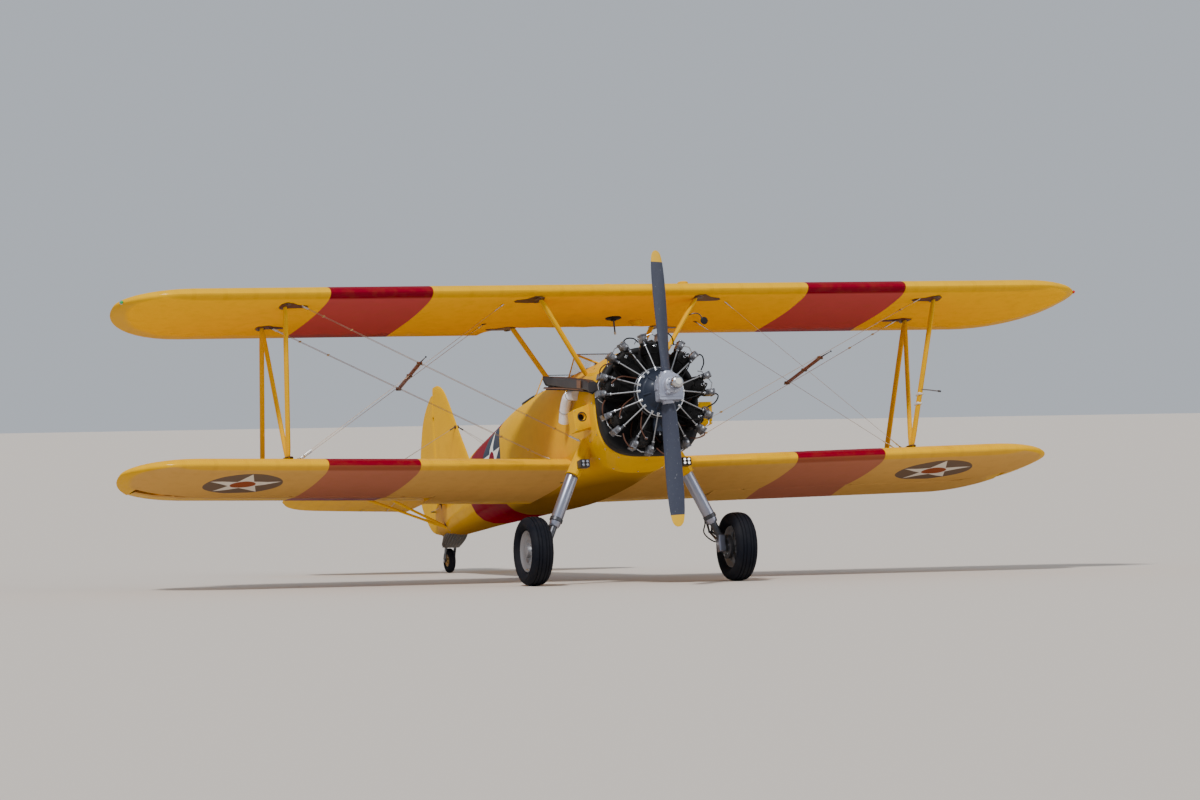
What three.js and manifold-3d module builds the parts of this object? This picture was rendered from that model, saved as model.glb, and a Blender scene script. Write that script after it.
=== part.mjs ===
// A two-seat biplane trainer with an open nine-cylinder radial engine, parked on its tail wheel.
// Everything is in millimetres. In the flight frame the origin is the propeller's centre, X points to
// port, Y aft along the thrust line and Z up. The whole machine is then tipped nose up to stand.

import * as THREE from 'three';
import { mergeVertices } from 'three/addons/utils/BufferGeometryUtils.js';
import Module from 'manifold-3d';

const wasm = await Module();
wasm.setup();

// Stance
const PARK_ANGLE = THREE.MathUtils.degToRad(11);
const PROP_HEIGHT = 1858.7;
const PROP_FORWARD = 3521;
const SEAT_GAP = 0.3;

// Wings, both of one section and one chord
const CHORD = 1524;
const WING_THICKNESS = 0.13;
const CAMBER = 0.02;
const CAMBER_PEAK = 0.3;
const TIP_LEAD_RUN = 700;
const TIP_TRAIL_RUN = 900;
const TIP_STATIONS = [0, 16, 31, 45, 58, 70, 79, 85, 88];
const UPPER = { halfSpan: 4902, lead: 965, z: 1160, incidence: 4.6, dihedral: 0, tip: 1530, rise: 50 };
const LOWER = { halfSpan: 4749, lead: 1660, z: -416, incidence: 3.8, dihedral: 1.1, tip: 2231, rise: 40 };
const CENTRE_HALF = 1000;
const CUTOUT = { innerHalf: 700, outerHalf: 980, y: 2150, side: 330, round: 120, bulge: 40, past: 500 };
const LOWER_ROOT = 330;

// Control surfaces
const SURFACE_GAP = 6;
const AILERON = { inner: 1450, outer: 4500, hinge: 2780, noseInner: 34, noseOuter: 16, rest: 5, reach: 900 };
const AILERON_HINGES = [1760, 2900, 4080];
const ELEVATOR = { hinge: 6580, z: 200, nose: 20, noseTip: 9, rest: -8 };
const ELEVATOR_HINGES = [420, 1300];
const RUDDER = { hinge: 6800, nose: 19, noseTip: 10 };
const RUDDER_HINGES = [330, 1040];
const LUG = { radius: 9, length: 40, arm: 10, root: 40, tailRoot: 30, ahead: 10, behind: 13, tall: 90 };
const TORQUE_TUBE = { radius: 16, half: 200, clear: 24 };
const TUBE_BORE_HALF = 300;

// Fuselage sections: y, half width, top, height of the widest place, bottom, squareness above and below
const COWL_SECTIONS = [
  { y: 645, half: 505, top: 505, waist: 0, bottom: -540, square: 2.0, low: 3.3 },
  { y: 760, half: 508, top: 520, waist: 0, bottom: -565, square: 2.05, low: 3.2 },
  { y: 1000, half: 480, top: 542, waist: -20, bottom: -622, square: 2.2, low: 2.8 },
];
const FRONT_SECTIONS = [
  { y: 1000, half: 480, top: 542, waist: -20, bottom: -622, square: 2.2, low: 2.8 },
  { y: 1300, half: 446, top: 535, waist: -40, bottom: -640, square: 2.4, low: 2.6 },
  { y: 1700, half: 440, top: 545, waist: -60, bottom: -650, square: 2.6, low: 2.6 },
  { y: 2100, half: 440, top: 556, waist: -60, bottom: -645, square: 2.7, low: 2.7 },
  { y: 2700, half: 438, top: 572, waist: -60, bottom: -622, square: 2.7, low: 2.7 },
  { y: 3300, half: 436, top: 572, waist: -50, bottom: -566, square: 2.7, low: 2.7 },
  { y: 3700, half: 420, top: 550, waist: -45, bottom: -522, square: 2.7, low: 2.7 },
];
const REAR_SECTIONS = [
  { y: 3700, half: 420, top: 550, waist: -45, bottom: -522, square: 2.7, low: 2.7 },
  { y: 4400, half: 372, top: 485, waist: -40, bottom: -452, square: 2.6, low: 2.6 },
  { y: 5200, half: 310, top: 410, waist: -30, bottom: -370, square: 2.5, low: 2.5 },
  { y: 6000, half: 205, top: 290, waist: -25, bottom: -303, square: 2.3, low: 2.3 },
  { y: 6400, half: 150, top: 240, waist: -30, bottom: -262, square: 2.2, low: 2.2 },
  { y: 6775.5, half: 85, top: 190, waist: -20, bottom: -200, square: 2.0, low: 2.0 },
];
const SECTION_CORNERS = 28;
const WALL = 24;
const CABIN = { from: 1060, to: 3660 };
const OPENING = { low: 250, tall: 800 };

// Cockpits: y of the opening's ends, half width, seat back and panel
const COCKPITS = [
  { name: 'front', start: 2080, end: 2640, half: 270, seat: 2600, panel: 2030 },
  { name: 'rear', start: 2960, end: 3540, half: 260, seat: 3490, panel: 2905 },
];
const SEAT = {
  half: 205, depth: 400, panZ: -150, thick: 30, backTop: 330, stemHalf: 70, stemFrom: 260, stemTo: 120,
};
const PANEL = { half: 600, thick: 18, low: 60, high: 900 };

// Windshields: y of the foot, of the top and of the rear corner, and how far the top stands above the foot
const SHIELD = { foot: 170, top: 185, rear: 240, below: 70, thick: 8 };
const SHIELDS = {
  front: { foot: 1400, top: 1930, rear: 2040, rise: 187 },
  rear: { foot: 2450, top: 2875, rear: 3020, rise: 140 },
};

// Struts: streamlined tube of the same depth and width everywhere
const STRUT = { chord: 96, width: 46 };
const STRUT_SIDES = 10;
const INTERPLANE = {
  frontTop: [3319, 1192, 1136], frontFoot: [3196, 1850, -330],
  rearTop: [3318, 1988, 1056], rearFoot: [3216, 2650, -380],
};
const CABANES = [
  { name: 'front', foot: [330, 1240, 360], top: [817, 1100, 1136] },
  { name: 'rear', foot: [350, 2154, 440], top: [752, 2178, 1086] },
];

// Main stays: a flying and a landing stay in front and behind, tied by a rod where they cross
const STAY_RADIUS = 5;
const SPREADER = { radius: 14, ahead: 290, behind: 70, sides: 6 };
const STAYS = [
  { root: [400, 1200, -305], wing: [3270, 1190, 1136], top: [1060, 1190, 1126], foot: [3130, 1850, -300] },
  { root: [470, 1760, -400], wing: [3270, 1990, 1056], top: [1050, 1950, 1066], foot: [3100, 1900, -300] },
];

// Main gear
const TYRE = { radius: 330, half: 108, bead: 200, sides: 32 };
// Profiles of the main wheel: radius and place across, from the inner bead round to the outer one
const TYRE_PROFILE = [
  [200, -60], [222, -86], [262, -108], [308, -88], [330, -34], [330, 34], [308, 88], [262, 108], [222, 86],
  [200, 60], [200, -60],
];
const RIM_FACE = [[186, 68], [172, 50], [60, 40], [52, 78], [0, 78], [0, 72]];
const RIM_EDGES = { innerBack: -52, back: -60, front: 60, hubFront: 72 };
const AXLE = { x: 1034, y: 1199, radius: 20, running: 0.4 };
const GEAR = {
  top: [400, 1190, -290], knee: [582, 1199, -602], chrome: [812, 1199, -1096], knuckle: [882, 1199, -1246],
  chord: 250, width: 130, taper: 0.72,
};
const LIGHT = { x: 516, y: 983, z: -520, wide: 96, tall: 74, depth: 120 };
const LEG = { upper: 58, lower: 34, capRadius: 150, capLength: 99 };
const KNUCKLE = { inboard: 42, outboard: 30, along: 45, below: 42, above: 30, stubShort: 46 };

// Tail wheel
const TAIL_TYRE = { radius: 127, half: 35, bead: 62, sides: 24 };
const TAIL_BEAD = { across: 26 };
const TAIL_TYRE_PROFILE = [
  [62, -26], [96, -35], [118, -28], [127, -12], [127, 12], [118, 28], [96, 35], [62, 26], [62, -26],
];
const TAIL_AXLE_Y = 6685;
const TRAIL = 45;
const FORK = {
  gap: 9, plate: 10, pin: 12, running: 0.4, crown: 136, top: 151, post: 16, roof: 200, cavity: 76, rim: 85,
  inset: 2, crownBack: -71, crownFront: -8,
};
const BOOT_SIDES = 20;
const FORK_SIDE = [[-20, -18], [18, -18], [18, 16], [-8, 151], [-71, 151], [-71, 136]];
const BOOT_RINGS = [
  { y: 6500, z: -300, halfX: 96, halfY: 290 },
  { y: 6370, z: -215, halfX: 84, halfY: 395 },
];

// Tail plates
const FIN = [
  { z: 100, lead: 5560, half: 30 }, { z: 470, lead: 5840, half: 29 }, { z: 910, lead: 6170, half: 25 },
  { z: 1150, lead: 6345, half: 21 }, { z: 1270, lead: 6455, half: 18 }, { z: 1335, lead: 6560, half: 14 },
  { z: 1362, lead: 6650, half: 10 },
];
const RUDDER_BLADE = [
  { z: -160, trail: 6905, half: 20 }, { z: -100, trail: 7110, half: 26 }, { z: 60, trail: 7300, half: 29 },
  { z: 260, trail: 7430, half: 30 }, { z: 500, trail: 7415, half: 28 }, { z: 770, trail: 7335, half: 26 },
  { z: 1000, trail: 7232, half: 23 }, { z: 1120, trail: 7140, half: 21 }, { z: 1220, trail: 7010, half: 19 },
  { z: 1285, trail: 6890, half: 16 },
];
const STABILISER = [
  { x: 0, lead: 5790, half: 27 }, { x: 1150, lead: 6080, half: 26 }, { x: 1450, lead: 6190, half: 23 },
  { x: 1640, lead: 6320, half: 18 }, { x: 1740, lead: 6440, half: 14 }, { x: 1780, lead: 6530, half: 10 },
];
const ELEVATOR_BLADE = [
  { x: 120, xTrail: 285, trail: 7100, half: 27 }, { x: 1300, xTrail: 1300, trail: 7000, half: 26 },
  { x: 1500, xTrail: 1500, trail: 6955, half: 22 }, { x: 1650, xTrail: 1650, trail: 6860, half: 17 },
  { x: 1750, xTrail: 1750, trail: 6700, half: 12 },
];
const TAIL_STRUT = {
  foot: [60, 6330, -210], ends: [[1010, 6080, 190], [1010, 6480, 190]], chord: 48, width: 24,
};

// Engine
const CYLINDERS = 9;
const CYLINDER_Y = 350;
const ENGINE = {
  rear: 150, base: 150, barrel: 66, fin: 84, head: 92, headStart: 400, headEnd: 520, back: 645,
  crown: { under: 12, edge: 20, round: 30 },
};
const FINS = { first: 250, pitch: 74, wide: 40 };
const ROCKER = { start: 495, end: 585, offset: 80, width: 52, depth: 110, ahead: 0.7 };
const PUSHROD = {
  inner: 215, innerY: 178, innerTurn: 8, outer: 520, outerY: 285, outerTurn: 10, radius: 10,
};
const CASE_PROFILE = [
  [0, 80], [58, 80], [70, 100], [128, 128], [170, 160], [225, 172],
  [225, 196], [205, 214], [205, 460], [150, 480],
];
const COLLECTOR = { hole: 440, front: 505, back: 640, seat: 12, seatOver: 20, opening: 154 };
const STUB = { at: 500, radius: 26 };

// The duct on the starboard side: middle, half width and half height
const DUCT = [
  { x: -535, y: 556, z: 140, half: 48, tall: 52 },
  { x: -530, y: 720, z: 188, half: 45, tall: 50 },
  { x: -510, y: 1300, z: 320, half: 45, tall: 52 },
  { x: -500, y: 1930, z: 452, half: 46, tall: 54 },
];
const DUCT_MOUTH = { wall: 11, depth: 120 };
const PIPE_SIDES = 12;
const PIPE = {
  radius: 50,
  bend: [[-440, 1290, 195], [-495, 1350, 200], [-502, 1420, 150], [-500, 1490, 75], [-494, 1555, -20]],
};

// The boxes at the sides: front, back, corners in x and z, and the hole's middle
const AIR_BOXES = [
  {
    name: 'air_box_right', front: 800, back: 960,
    corners: [[-666, -42], [-470, 23], [-459, -200], [-653, -250]], hole: [-581, -108],
  },
  {
    name: 'air_box_left', front: 660, back: 800,
    corners: [[480, -30], [545, -11], [696, -9], [682, -223], [545, -220], [480, -180]], hole: [618, -102],
  },
];
const AIR_BOX_HOLE = { radius: 36, depth: 60 };

// Propeller hub: radius and y from the domed front to the shaft, its sockets and the clamp across it
const HUB_PROFILE = [
  [0, -332], [34, -332], [52, -316], [58, -290], [58, -210],
  [84, -196], [84, -120], [96, -96], [96, 62], [40, 66],
];
const HUB = {
  neck: 40, back: 80, socket: 68, widen: 1.4, clamp: { half: 128, front: -60, back: 20, tall: 40 },
};
const BLADE_SIDES = 10;

// Propeller blade: distance from the hub, chord, thickness, pitch in degrees
const BLADE = [
  { r: 160, chord: 136, thick: 76, pitch: 45 }, { r: 240, chord: 150, thick: 60, pitch: 41 },
  { r: 380, chord: 156, thick: 40, pitch: 34 }, { r: 560, chord: 158, thick: 29, pitch: 28 },
  { r: 780, chord: 162, thick: 22, pitch: 23 }, { r: 1000, chord: 158, thick: 16, pitch: 19 },
  { r: 1180, chord: 140, thick: 12, pitch: 17 }, { r: 1280, chord: 106, thick: 9, pitch: 16 },
  { r: 1315, chord: 62, thick: 6, pitch: 16 }, { r: 1326, chord: 22, thick: 4, pitch: 16 },
];

const point = (place) => new THREE.Vector3(...place);

// Only the positions, with shared corners merged and empty triangles dropped, faces outward.
function solid(geometry) {
  const bare = new THREE.BufferGeometry();
  bare.setAttribute('position', geometry.getAttribute('position').clone());
  if (geometry.index) {
    bare.setIndex([...geometry.index.array]);
  }
  const merged = mergeVertices(bare, 1e-3);
  const corners = merged.index.array;
  const places = merged.getAttribute('position');
  const [a, b, c] = [new THREE.Vector3(), new THREE.Vector3(), new THREE.Vector3()];
  const kept = [];
  let volume = 0;
  for (let i = 0; i < corners.length; i += 3) {
    const [p, q, r] = [corners[i], corners[i + 1], corners[i + 2]];
    if (p !== q && q !== r && r !== p) {
      kept.push(p, q, r);
      a.fromBufferAttribute(places, p);
      b.fromBufferAttribute(places, q);
      c.fromBufferAttribute(places, r);
      volume += a.dot(b.cross(c));
    }
  }
  merged.setIndex(volume < 0 ? kept.reverse() : kept);
  return merged;
}

function toManifold(geometry) {
  const closed = solid(geometry);
  return new wasm.Manifold(new wasm.Mesh({
    numProp: 3,
    vertProperties: new Float32Array(closed.getAttribute('position').array),
    triVerts: new Uint32Array(closed.index.array),
  }));
}

function fromManifold(manifold) {
  const mesh = manifold.getMesh();
  const geometry = new THREE.BufferGeometry();
  geometry.setAttribute('position', new THREE.BufferAttribute(new Float32Array(mesh.vertProperties), 3));
  geometry.setIndex([...mesh.triVerts]);
  return geometry;
}

function join(first, ...others) {
  return fromManifold(others.reduce((body, other) => body.add(toManifold(other)), toManifold(first)));
}

function cut(first, ...others) {
  return fromManifold(others.reduce((body, other) => body.subtract(toManifold(other)), toManifold(first)));
}

function common(first, second) {
  return fromManifold(toManifold(first).intersect(toManifold(second)));
}

// Points round a circle, made from the cosine and sine of each turn
function circle(count, make) {
  return Array.from({ length: count }, (_, i) => {
    const turn = (i / count) * 2 * Math.PI;
    return make(Math.cos(turn), Math.sin(turn));
  });
}

// A closed body through rings of equal length, each end closed by a fan about its middle.
function loft(rings) {
  const count = rings[0].length;
  const points = rings.flat();
  const faces = [];
  for (let ring = 0; ring < rings.length - 1; ring++) {
    for (let i = 0; i < count; i++) {
      const next = (i + 1) % count;
      const [low, high] = [ring * count, (ring + 1) * count];
      const corners = [low + i, low + next, high + next, high + i];
      const [a, b, c, d] = corners;
      // The fold of each four-cornered face is mirrored on the starboard side.
      if (corners.reduce((sum, corner) => sum + points[corner].x, 0) < 0) {
        faces.push(a, b, d, b, c, d);
      } else {
        faces.push(a, b, c, a, c, d);
      }
    }
  }
  for (const start of [0, (rings.length - 1) * count]) {
    const edge = points.slice(start, start + count);
    points.push(edge.reduce((sum, p) => sum.clone().add(p)).divideScalar(count));
    for (let i = 0; i < count; i++) {
      const pair = [start + (i + 1) % count, start + i];
      faces.push(points.length - 1, ...(start === 0 ? pair : pair.reverse()));
    }
  }
  const geometry = new THREE.BufferGeometry().setFromPoints(points);
  geometry.setIndex(faces);
  return solid(geometry);
}

const box = (x, y, z, [cx, cy, cz]) => new THREE.BoxGeometry(x, y, z).translate(cx, cy, cz);

function boxBetween(low, high) {
  const [a, b] = [point(low), point(high)];
  const size = b.clone().sub(a);
  const middle = a.add(b).multiplyScalar(0.5);
  return box(size.x, size.y, size.z, middle.toArray());
}

// A round bar between two points, or a cone when its ends differ.
function rod(from, to, radius, sides = 8, endRadius = radius) {
  const [a, b] = [point(from), point(to)];
  const length = a.distanceTo(b);
  const bar = new THREE.CylinderGeometry(endRadius, radius, length, sides);
  const along = b.clone().sub(a).normalize();
  const turn = new THREE.Quaternion().setFromUnitVectors(new THREE.Vector3(0, 1, 0), along);
  return bar.applyQuaternion(turn).translate(...a.add(b).multiplyScalar(0.5).toArray());
}

// A streamlined strut: an oval whose long way lies along the flow.
function strut(from, to, chord = STRUT.chord, width = STRUT.width, endScale = 1) {
  const along = point(to).sub(point(from)).normalize();
  const flow = new THREE.Vector3(0, 1, 0);
  flow.addScaledVector(along, -flow.dot(along)).normalize();
  const across = new THREE.Vector3().crossVectors(along, flow);
  return loft([[from, 1], [to, endScale]].map(([place, scale]) => circle(STRUT_SIDES, (cos, sin) => {
    const ahead = point(place).addScaledVector(flow, (scale * chord * cos) / 2);
    return ahead.addScaledVector(across, (scale * width * sin) / 2);
  })));
}

// A flat plate through its corners, with its thickness to one side
function slab(corners, thick) {
  const flat = corners.map(point);
  const [first, second] = [flat[1], flat[2]].map((corner) => corner.clone().sub(flat[0]));
  const away = first.cross(second).normalize().multiplyScalar(thick);
  return loft([flat, flat.map((corner) => corner.clone().add(away))]);
}

// A turned body about the thrust line: pairs of radius and y.
function turned(profile, sides = 32) {
  return new THREE.LatheGeometry(profile.map(([r, y]) => new THREE.Vector2(r, y)), sides);
}

const mirrored = (geometry) => solid(geometry.clone().scale(-1, 1, 1));

// The wing section
function camberLine(share) {
  const p = CAMBER_PEAK;
  return share < p
    ? (CAMBER / p ** 2) * (2 * p * share - share ** 2)
    : (CAMBER / (1 - p) ** 2) * (1 - 2 * p + 2 * p * share - share ** 2);
}

function halfThickness(share) {
  const terms = [0.2969 * Math.sqrt(share), -0.126 * share, -0.3516 * share ** 2, 0.2843 * share ** 3];
  return 5 * WING_THICKNESS * (terms.reduce((sum, term) => sum + term) - 0.1015 * share ** 4);
}

const SHARES = Array.from({ length: 8 }, (_, k) => (1 - Math.cos((k / 7) * Math.PI)) / 2);
const SECTION = [
  ...SHARES.map((share) => ({ share, side: 1 })).reverse(),
  ...SHARES.slice(1).map((share) => ({ share, side: -1 })),
];

function wingRing(wing, x, grow) {
  const inboard = wing.halfSpan - x;
  const round = (run) => Math.sqrt(1 - Math.min(Math.max((run - inboard) / run, 0), 1) ** 2);
  const slope = Math.tan(THREE.MathUtils.degToRad(wing.incidence));
  const fore = (wing.tip - wing.lead) * round(TIP_LEAD_RUN);
  const aft = (wing.lead + CHORD - wing.tip) * round(TIP_TRAIL_RUN);
  const rise = wing.rise * (1 - round(TIP_TRAIL_RUN));
  const height = wing.z + x * Math.tan(THREE.MathUtils.degToRad(wing.dihedral)) + rise;
  return SECTION.map(({ share, side }) => {
    const y = wing.tip - fore + share * (fore + aft);
    const up = (camberLine(share) + side * halfThickness(share)) * (fore + aft) + side * grow;
    return new THREE.Vector3(x, y + grow * (2 * share - 1), height - (y - wing.lead) * slope + up);
  });
}

function wingSolid(wing, from, to, grow = 0) {
  const stations = [from];
  if (to === undefined) {
    for (const degrees of TIP_STATIONS) {
      stations.push(wing.halfSpan - TIP_TRAIL_RUN * (1 - Math.sin(THREE.MathUtils.degToRad(degrees))));
    }
  } else {
    stations.push(to);
  }
  return loft(stations.map((x) => wingRing(wing, x, grow)));
}

// The fuselage sections
function bodyRing({ y, half, top, waist, bottom, square, low }, grow) {
  return circle(SECTION_CORNERS, (cos, sin) => {
    const power = 2 / (sin > 0 ? square : low);
    const bend = (value) => Math.sign(value) * Math.abs(value) ** power;
    const reach = sin > 0 ? top - waist : waist - bottom;
    return new THREE.Vector3((half + grow) * bend(cos), y, waist + (reach + grow) * bend(sin));
  });
}

const bodySolid = (sections, grow = 0) => loft(sections.map((section) => bodyRing(section, grow)));

// The section at any y, on the straight line between its neighbours
function sectionAt(sections, y) {
  const after = sections.findIndex((section) => section.y >= y);
  const [low, high] = [sections[Math.max(after - 1, 0)], sections[after]];
  const share = high.y === low.y ? 0 : (y - low.y) / (high.y - low.y);
  return Object.fromEntries(Object.keys(low).map((key) => [key, low[key] + share * (high[key] - low[key])]));
}

function bodyBetween(sections, from, to, grow) {
  const inside = sections.filter(({ y }) => y > from && y < to);
  return bodySolid([sectionAt(sections, from), ...inside, sectionAt(sections, to)], grow);
}

// The hollow inside the front fuselage
const cabin = (grow) => bodyBetween(FRONT_SECTIONS, CABIN.from, CABIN.to, grow - WALL);

// The whole outline with the collector, from which everything that lies against it is cut
const SHELL = bodySolid([
  { ...COWL_SECTIONS[0], y: COLLECTOR.front - SEAT_GAP },
  ...COWL_SECTIONS.slice(0, 2),
  ...FRONT_SECTIONS,
  ...REAR_SECTIONS.slice(1),
], SEAT_GAP);

// Hinges: a barrel on the fixed part turns in a notch of the moving part.
function lug(centre, axis, forward, reach) {
  const along = point(axis).multiplyScalar(LUG.length / 2);
  const barrel = rod(point(centre).sub(along).toArray(), point(centre).add(along).toArray(), LUG.radius, 12);
  const end = point(centre).addScaledVector(point(forward), reach);
  const middle = point(centre).add(end).multiplyScalar(0.5);
  const size = [0, 1, 2].map((i) => (Math.abs(forward[i]) > 0.5 ? reach : LUG.arm));
  return join(barrel, box(...size, middle.toArray()));
}

function notch(centre, axis, nose) {
  const { behind: back, tall } = LUG;
  const front = nose + LUG.ahead;
  const long = LUG.length + 2 * SEAT_GAP;
  const middle = [centre[0], centre[1] + (back - front) / 2, centre[2]];
  return axis[0] > 0.5 ? box(long, front + back, tall, middle) : box(tall, front + back, long, middle);
}

// Turns a piece about a line through a point, by degrees, trailing edge up.
function deflect(geometry, centre, axis, degrees) {
  const turn = new THREE.Quaternion().setFromAxisAngle(point(axis), THREE.MathUtils.degToRad(degrees));
  const back = centre.map((value) => -value);
  return geometry.translate(...back).applyQuaternion(turn).translate(...centre);
}

const parts = new THREE.Group();
const finishes = {
  yellow: { color: '#f2b50c', roughness: 0.35, metalness: 0 },
  yellowMetal: { color: '#f2b50c', roughness: 0.3, metalness: 0 },
  steel: { color: '#b9bcc0', roughness: 0.3, metalness: 1 },
  chrome: { color: '#dfe1e4', roughness: 0.12, metalness: 1 },
  iron: { color: '#25272b', roughness: 0.5, metalness: 0.6 },
  soot: { color: '#15151a', roughness: 0.6, metalness: 0.3 },
  grey: { color: '#5b616b', roughness: 0.5, metalness: 0.2 },
  rubber: { color: '#17171a', roughness: 0.85, metalness: 0 },
  glass: { color: '#cfdde6', roughness: 0.05, metalness: 0 },
  canvas: { color: '#6d6c66', roughness: 0.9, metalness: 0 },
};

function add(name, geometry, finish) {
  const mesh = new THREE.Mesh(solid(geometry), new THREE.MeshStandardMaterial(finishes[finish]));
  mesh.name = name;
  parts.add(mesh);
  return mesh;
}

function addPair(name, geometry, finish) {
  add(`${name}_left`, geometry, finish);
  add(`${name}_right`, mirrored(geometry), finish);
}

// Fuselage: a turned cowl, a hollow front with two cockpits, and a closed rear.
function cockpitHole({ start, end, half }) {
  const radius = (end - start) / 2;
  const outline = new THREE.Shape();
  outline.absellipse(0, (start + end) / 2, half, radius, 0, 2 * Math.PI);
  const bore = { depth: OPENING.tall, bevelEnabled: false, curveSegments: 10 };
  const hole = new THREE.ExtrudeGeometry(outline, bore);
  return hole.translate(0, 0, OPENING.low);
}

function tubeBore() {
  const { hinge, z } = ELEVATOR;
  return rod([-TUBE_BORE_HALF, hinge, z], [TUBE_BORE_HALF, hinge, z], TORQUE_TUBE.clear, 16);
}

function addFuselage() {
  const cowl = COWL_SECTIONS.map((section) => ({ ...section }));
  cowl[2].y -= SEAT_GAP;
  add('nose_cowl', bodySolid(cowl), 'yellowMetal');
  add('fuselage_front', cut(bodySolid(FRONT_SECTIONS), cabin(0), ...COCKPITS.map(cockpitHole)), 'yellow');
  const rear = REAR_SECTIONS.map((section) => ({ ...section }));
  rear[0].y += SEAT_GAP;
  add('fuselage_rear', cut(bodySolid(rear), tubeBore()), 'yellow');
}

function addCockpit({ name, seat, panel }) {
  const board = boxBetween(
    [-PANEL.half, panel - PANEL.thick / 2, PANEL.low],
    [PANEL.half, panel + PANEL.thick / 2, PANEL.high],
  );
  add(`instrument_panel_${name}`, common(board, cabin(-SEAT_GAP)), 'iron');

  const { half, depth, panZ, thick, backTop, stemHalf, stemFrom, stemTo } = SEAT;
  const floor = sectionAt(FRONT_SECTIONS, seat - depth / 2).bottom;
  const pan = boxBetween([-half, seat - depth, panZ - thick], [half, seat, panZ]);
  const back = boxBetween([-half, seat - thick, panZ - thick], [half, seat, backTop]);
  const stem = boxBetween([-stemHalf, seat - stemFrom, floor], [stemHalf, seat - stemTo, panZ - thick / 2]);
  add(`seat_${name}`, common(join(pan, back, stem), cabin(-SEAT_GAP)), 'canvas');

  // A raked front pane and a three-cornered pane on each side, all run below the deck and cut to it
  const { foot, top, rear, below, thick: sheet } = SHIELD;
  const at = SHIELDS[name];
  const deck = sectionAt(FRONT_SECTIONS, at.foot).top;
  const start = at.foot - (below * (at.top - at.foot)) / at.rise;
  const corner = (x, y, up) => [x, y, deck + up];
  const front = slab([
    corner(foot, start, -below), corner(-foot, start, -below),
    corner(-top, at.top, at.rise), corner(top, at.top, at.rise),
  ], sheet);
  const side = slab([
    corner(foot, start, -below), corner(top, at.top, at.rise), corner(rear, at.rear, -below),
  ], sheet);
  add(`windshield_${name}`, cut(join(front, side, mirrored(side)), SHELL), 'glass');
}

// Wings
function addUpperWing() {
  const { innerHalf, outerHalf, y, side, round, bulge, past } = CUTOUT;
  const bay = new THREE.Shape();
  bay.moveTo(-outerHalf, y + past);
  bay.lineTo(-outerHalf, y + side);
  bay.bezierCurveTo(-outerHalf + bulge, y + round, -innerHalf - round, y, -innerHalf, y);
  bay.lineTo(innerHalf, y);
  bay.bezierCurveTo(innerHalf + round, y, outerHalf - bulge, y + round, outerHalf, y + side);
  bay.lineTo(outerHalf, y + past);
  const through = { depth: OPENING.tall, bevelEnabled: false, curveSegments: 7 };
  const hole = new THREE.ExtrudeGeometry(bay, through);
  const middle = wingSolid(UPPER, -CENTRE_HALF, CENTRE_HALF);
  add('upper_wing_center', cut(middle, hole.translate(0, 0, UPPER.z - OPENING.tall / 2)), 'yellow');
  addPair('upper_wing', wingSolid(UPPER, CENTRE_HALF + SEAT_GAP), 'yellow');
}

function hingeHeight(x) {
  const slope = Math.tan(THREE.MathUtils.degToRad(LOWER.incidence));
  const rise = x * Math.tan(THREE.MathUtils.degToRad(LOWER.dihedral));
  const middle = CHORD * camberLine((AILERON.hinge - LOWER.lead) / CHORD);
  return LOWER.z + rise - (AILERON.hinge - LOWER.lead) * slope + middle;
}

function addLowerWing() {
  const { inner, outer, hinge, noseInner, noseOuter, rest } = AILERON;
  const whole = wingSolid(LOWER, LOWER_ROOT);
  const bayFront = hinge - noseInner - SURFACE_GAP;
  const bay = boxBetween(
    [inner - SURFACE_GAP, bayFront, LOWER.z - AILERON.reach],
    [outer + SURFACE_GAP, hinge + AILERON.reach, LOWER.z + AILERON.reach],
  );
  const places = AILERON_HINGES.map((x) => [x, hinge, hingeHeight(x)]);
  const lean = THREE.MathUtils.degToRad(LOWER.dihedral);
  const axis = [Math.cos(lean), 0, Math.sin(lean)];
  const lugs = places.map((place) => lug(place, axis, [0, -1, 0], noseInner + LUG.root));
  const wing = join(cut(whole, bay, SHELL), ...lugs);
  addPair('lower_wing', wing, 'yellow');

  const behind = boxBetween(
    [inner, hinge, LOWER.z - AILERON.reach],
    [outer, hinge + AILERON.reach, LOWER.z + AILERON.reach],
  );
  const noseEnds = [inner, outer].map((x) => [x, hinge, hingeHeight(x)]);
  const nose = rod(...noseEnds, noseInner, 16, noseOuter);
  const notches = places.map((place) => notch(place, [1, 0, 0], noseInner));
  const flap = cut(join(common(whole, behind), nose), ...notches);
  const halfway = (inner + outer) / 2;
  const middle = hingeHeight(halfway);
  add('aileron_left', deflect(solid(flap), [halfway, hinge, middle], axis, -rest), 'yellow');
  const mirroredAxis = [axis[0], 0, -axis[2]];
  add('aileron_right', deflect(mirrored(flap), [-halfway, hinge, middle], mirroredAxis, rest), 'yellow');
}

const gearFairing = (grow) => {
  return strut(GEAR.knee, GEAR.top, GEAR.chord + 2 * grow, GEAR.width + 2 * grow, GEAR.taper);
};

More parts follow.
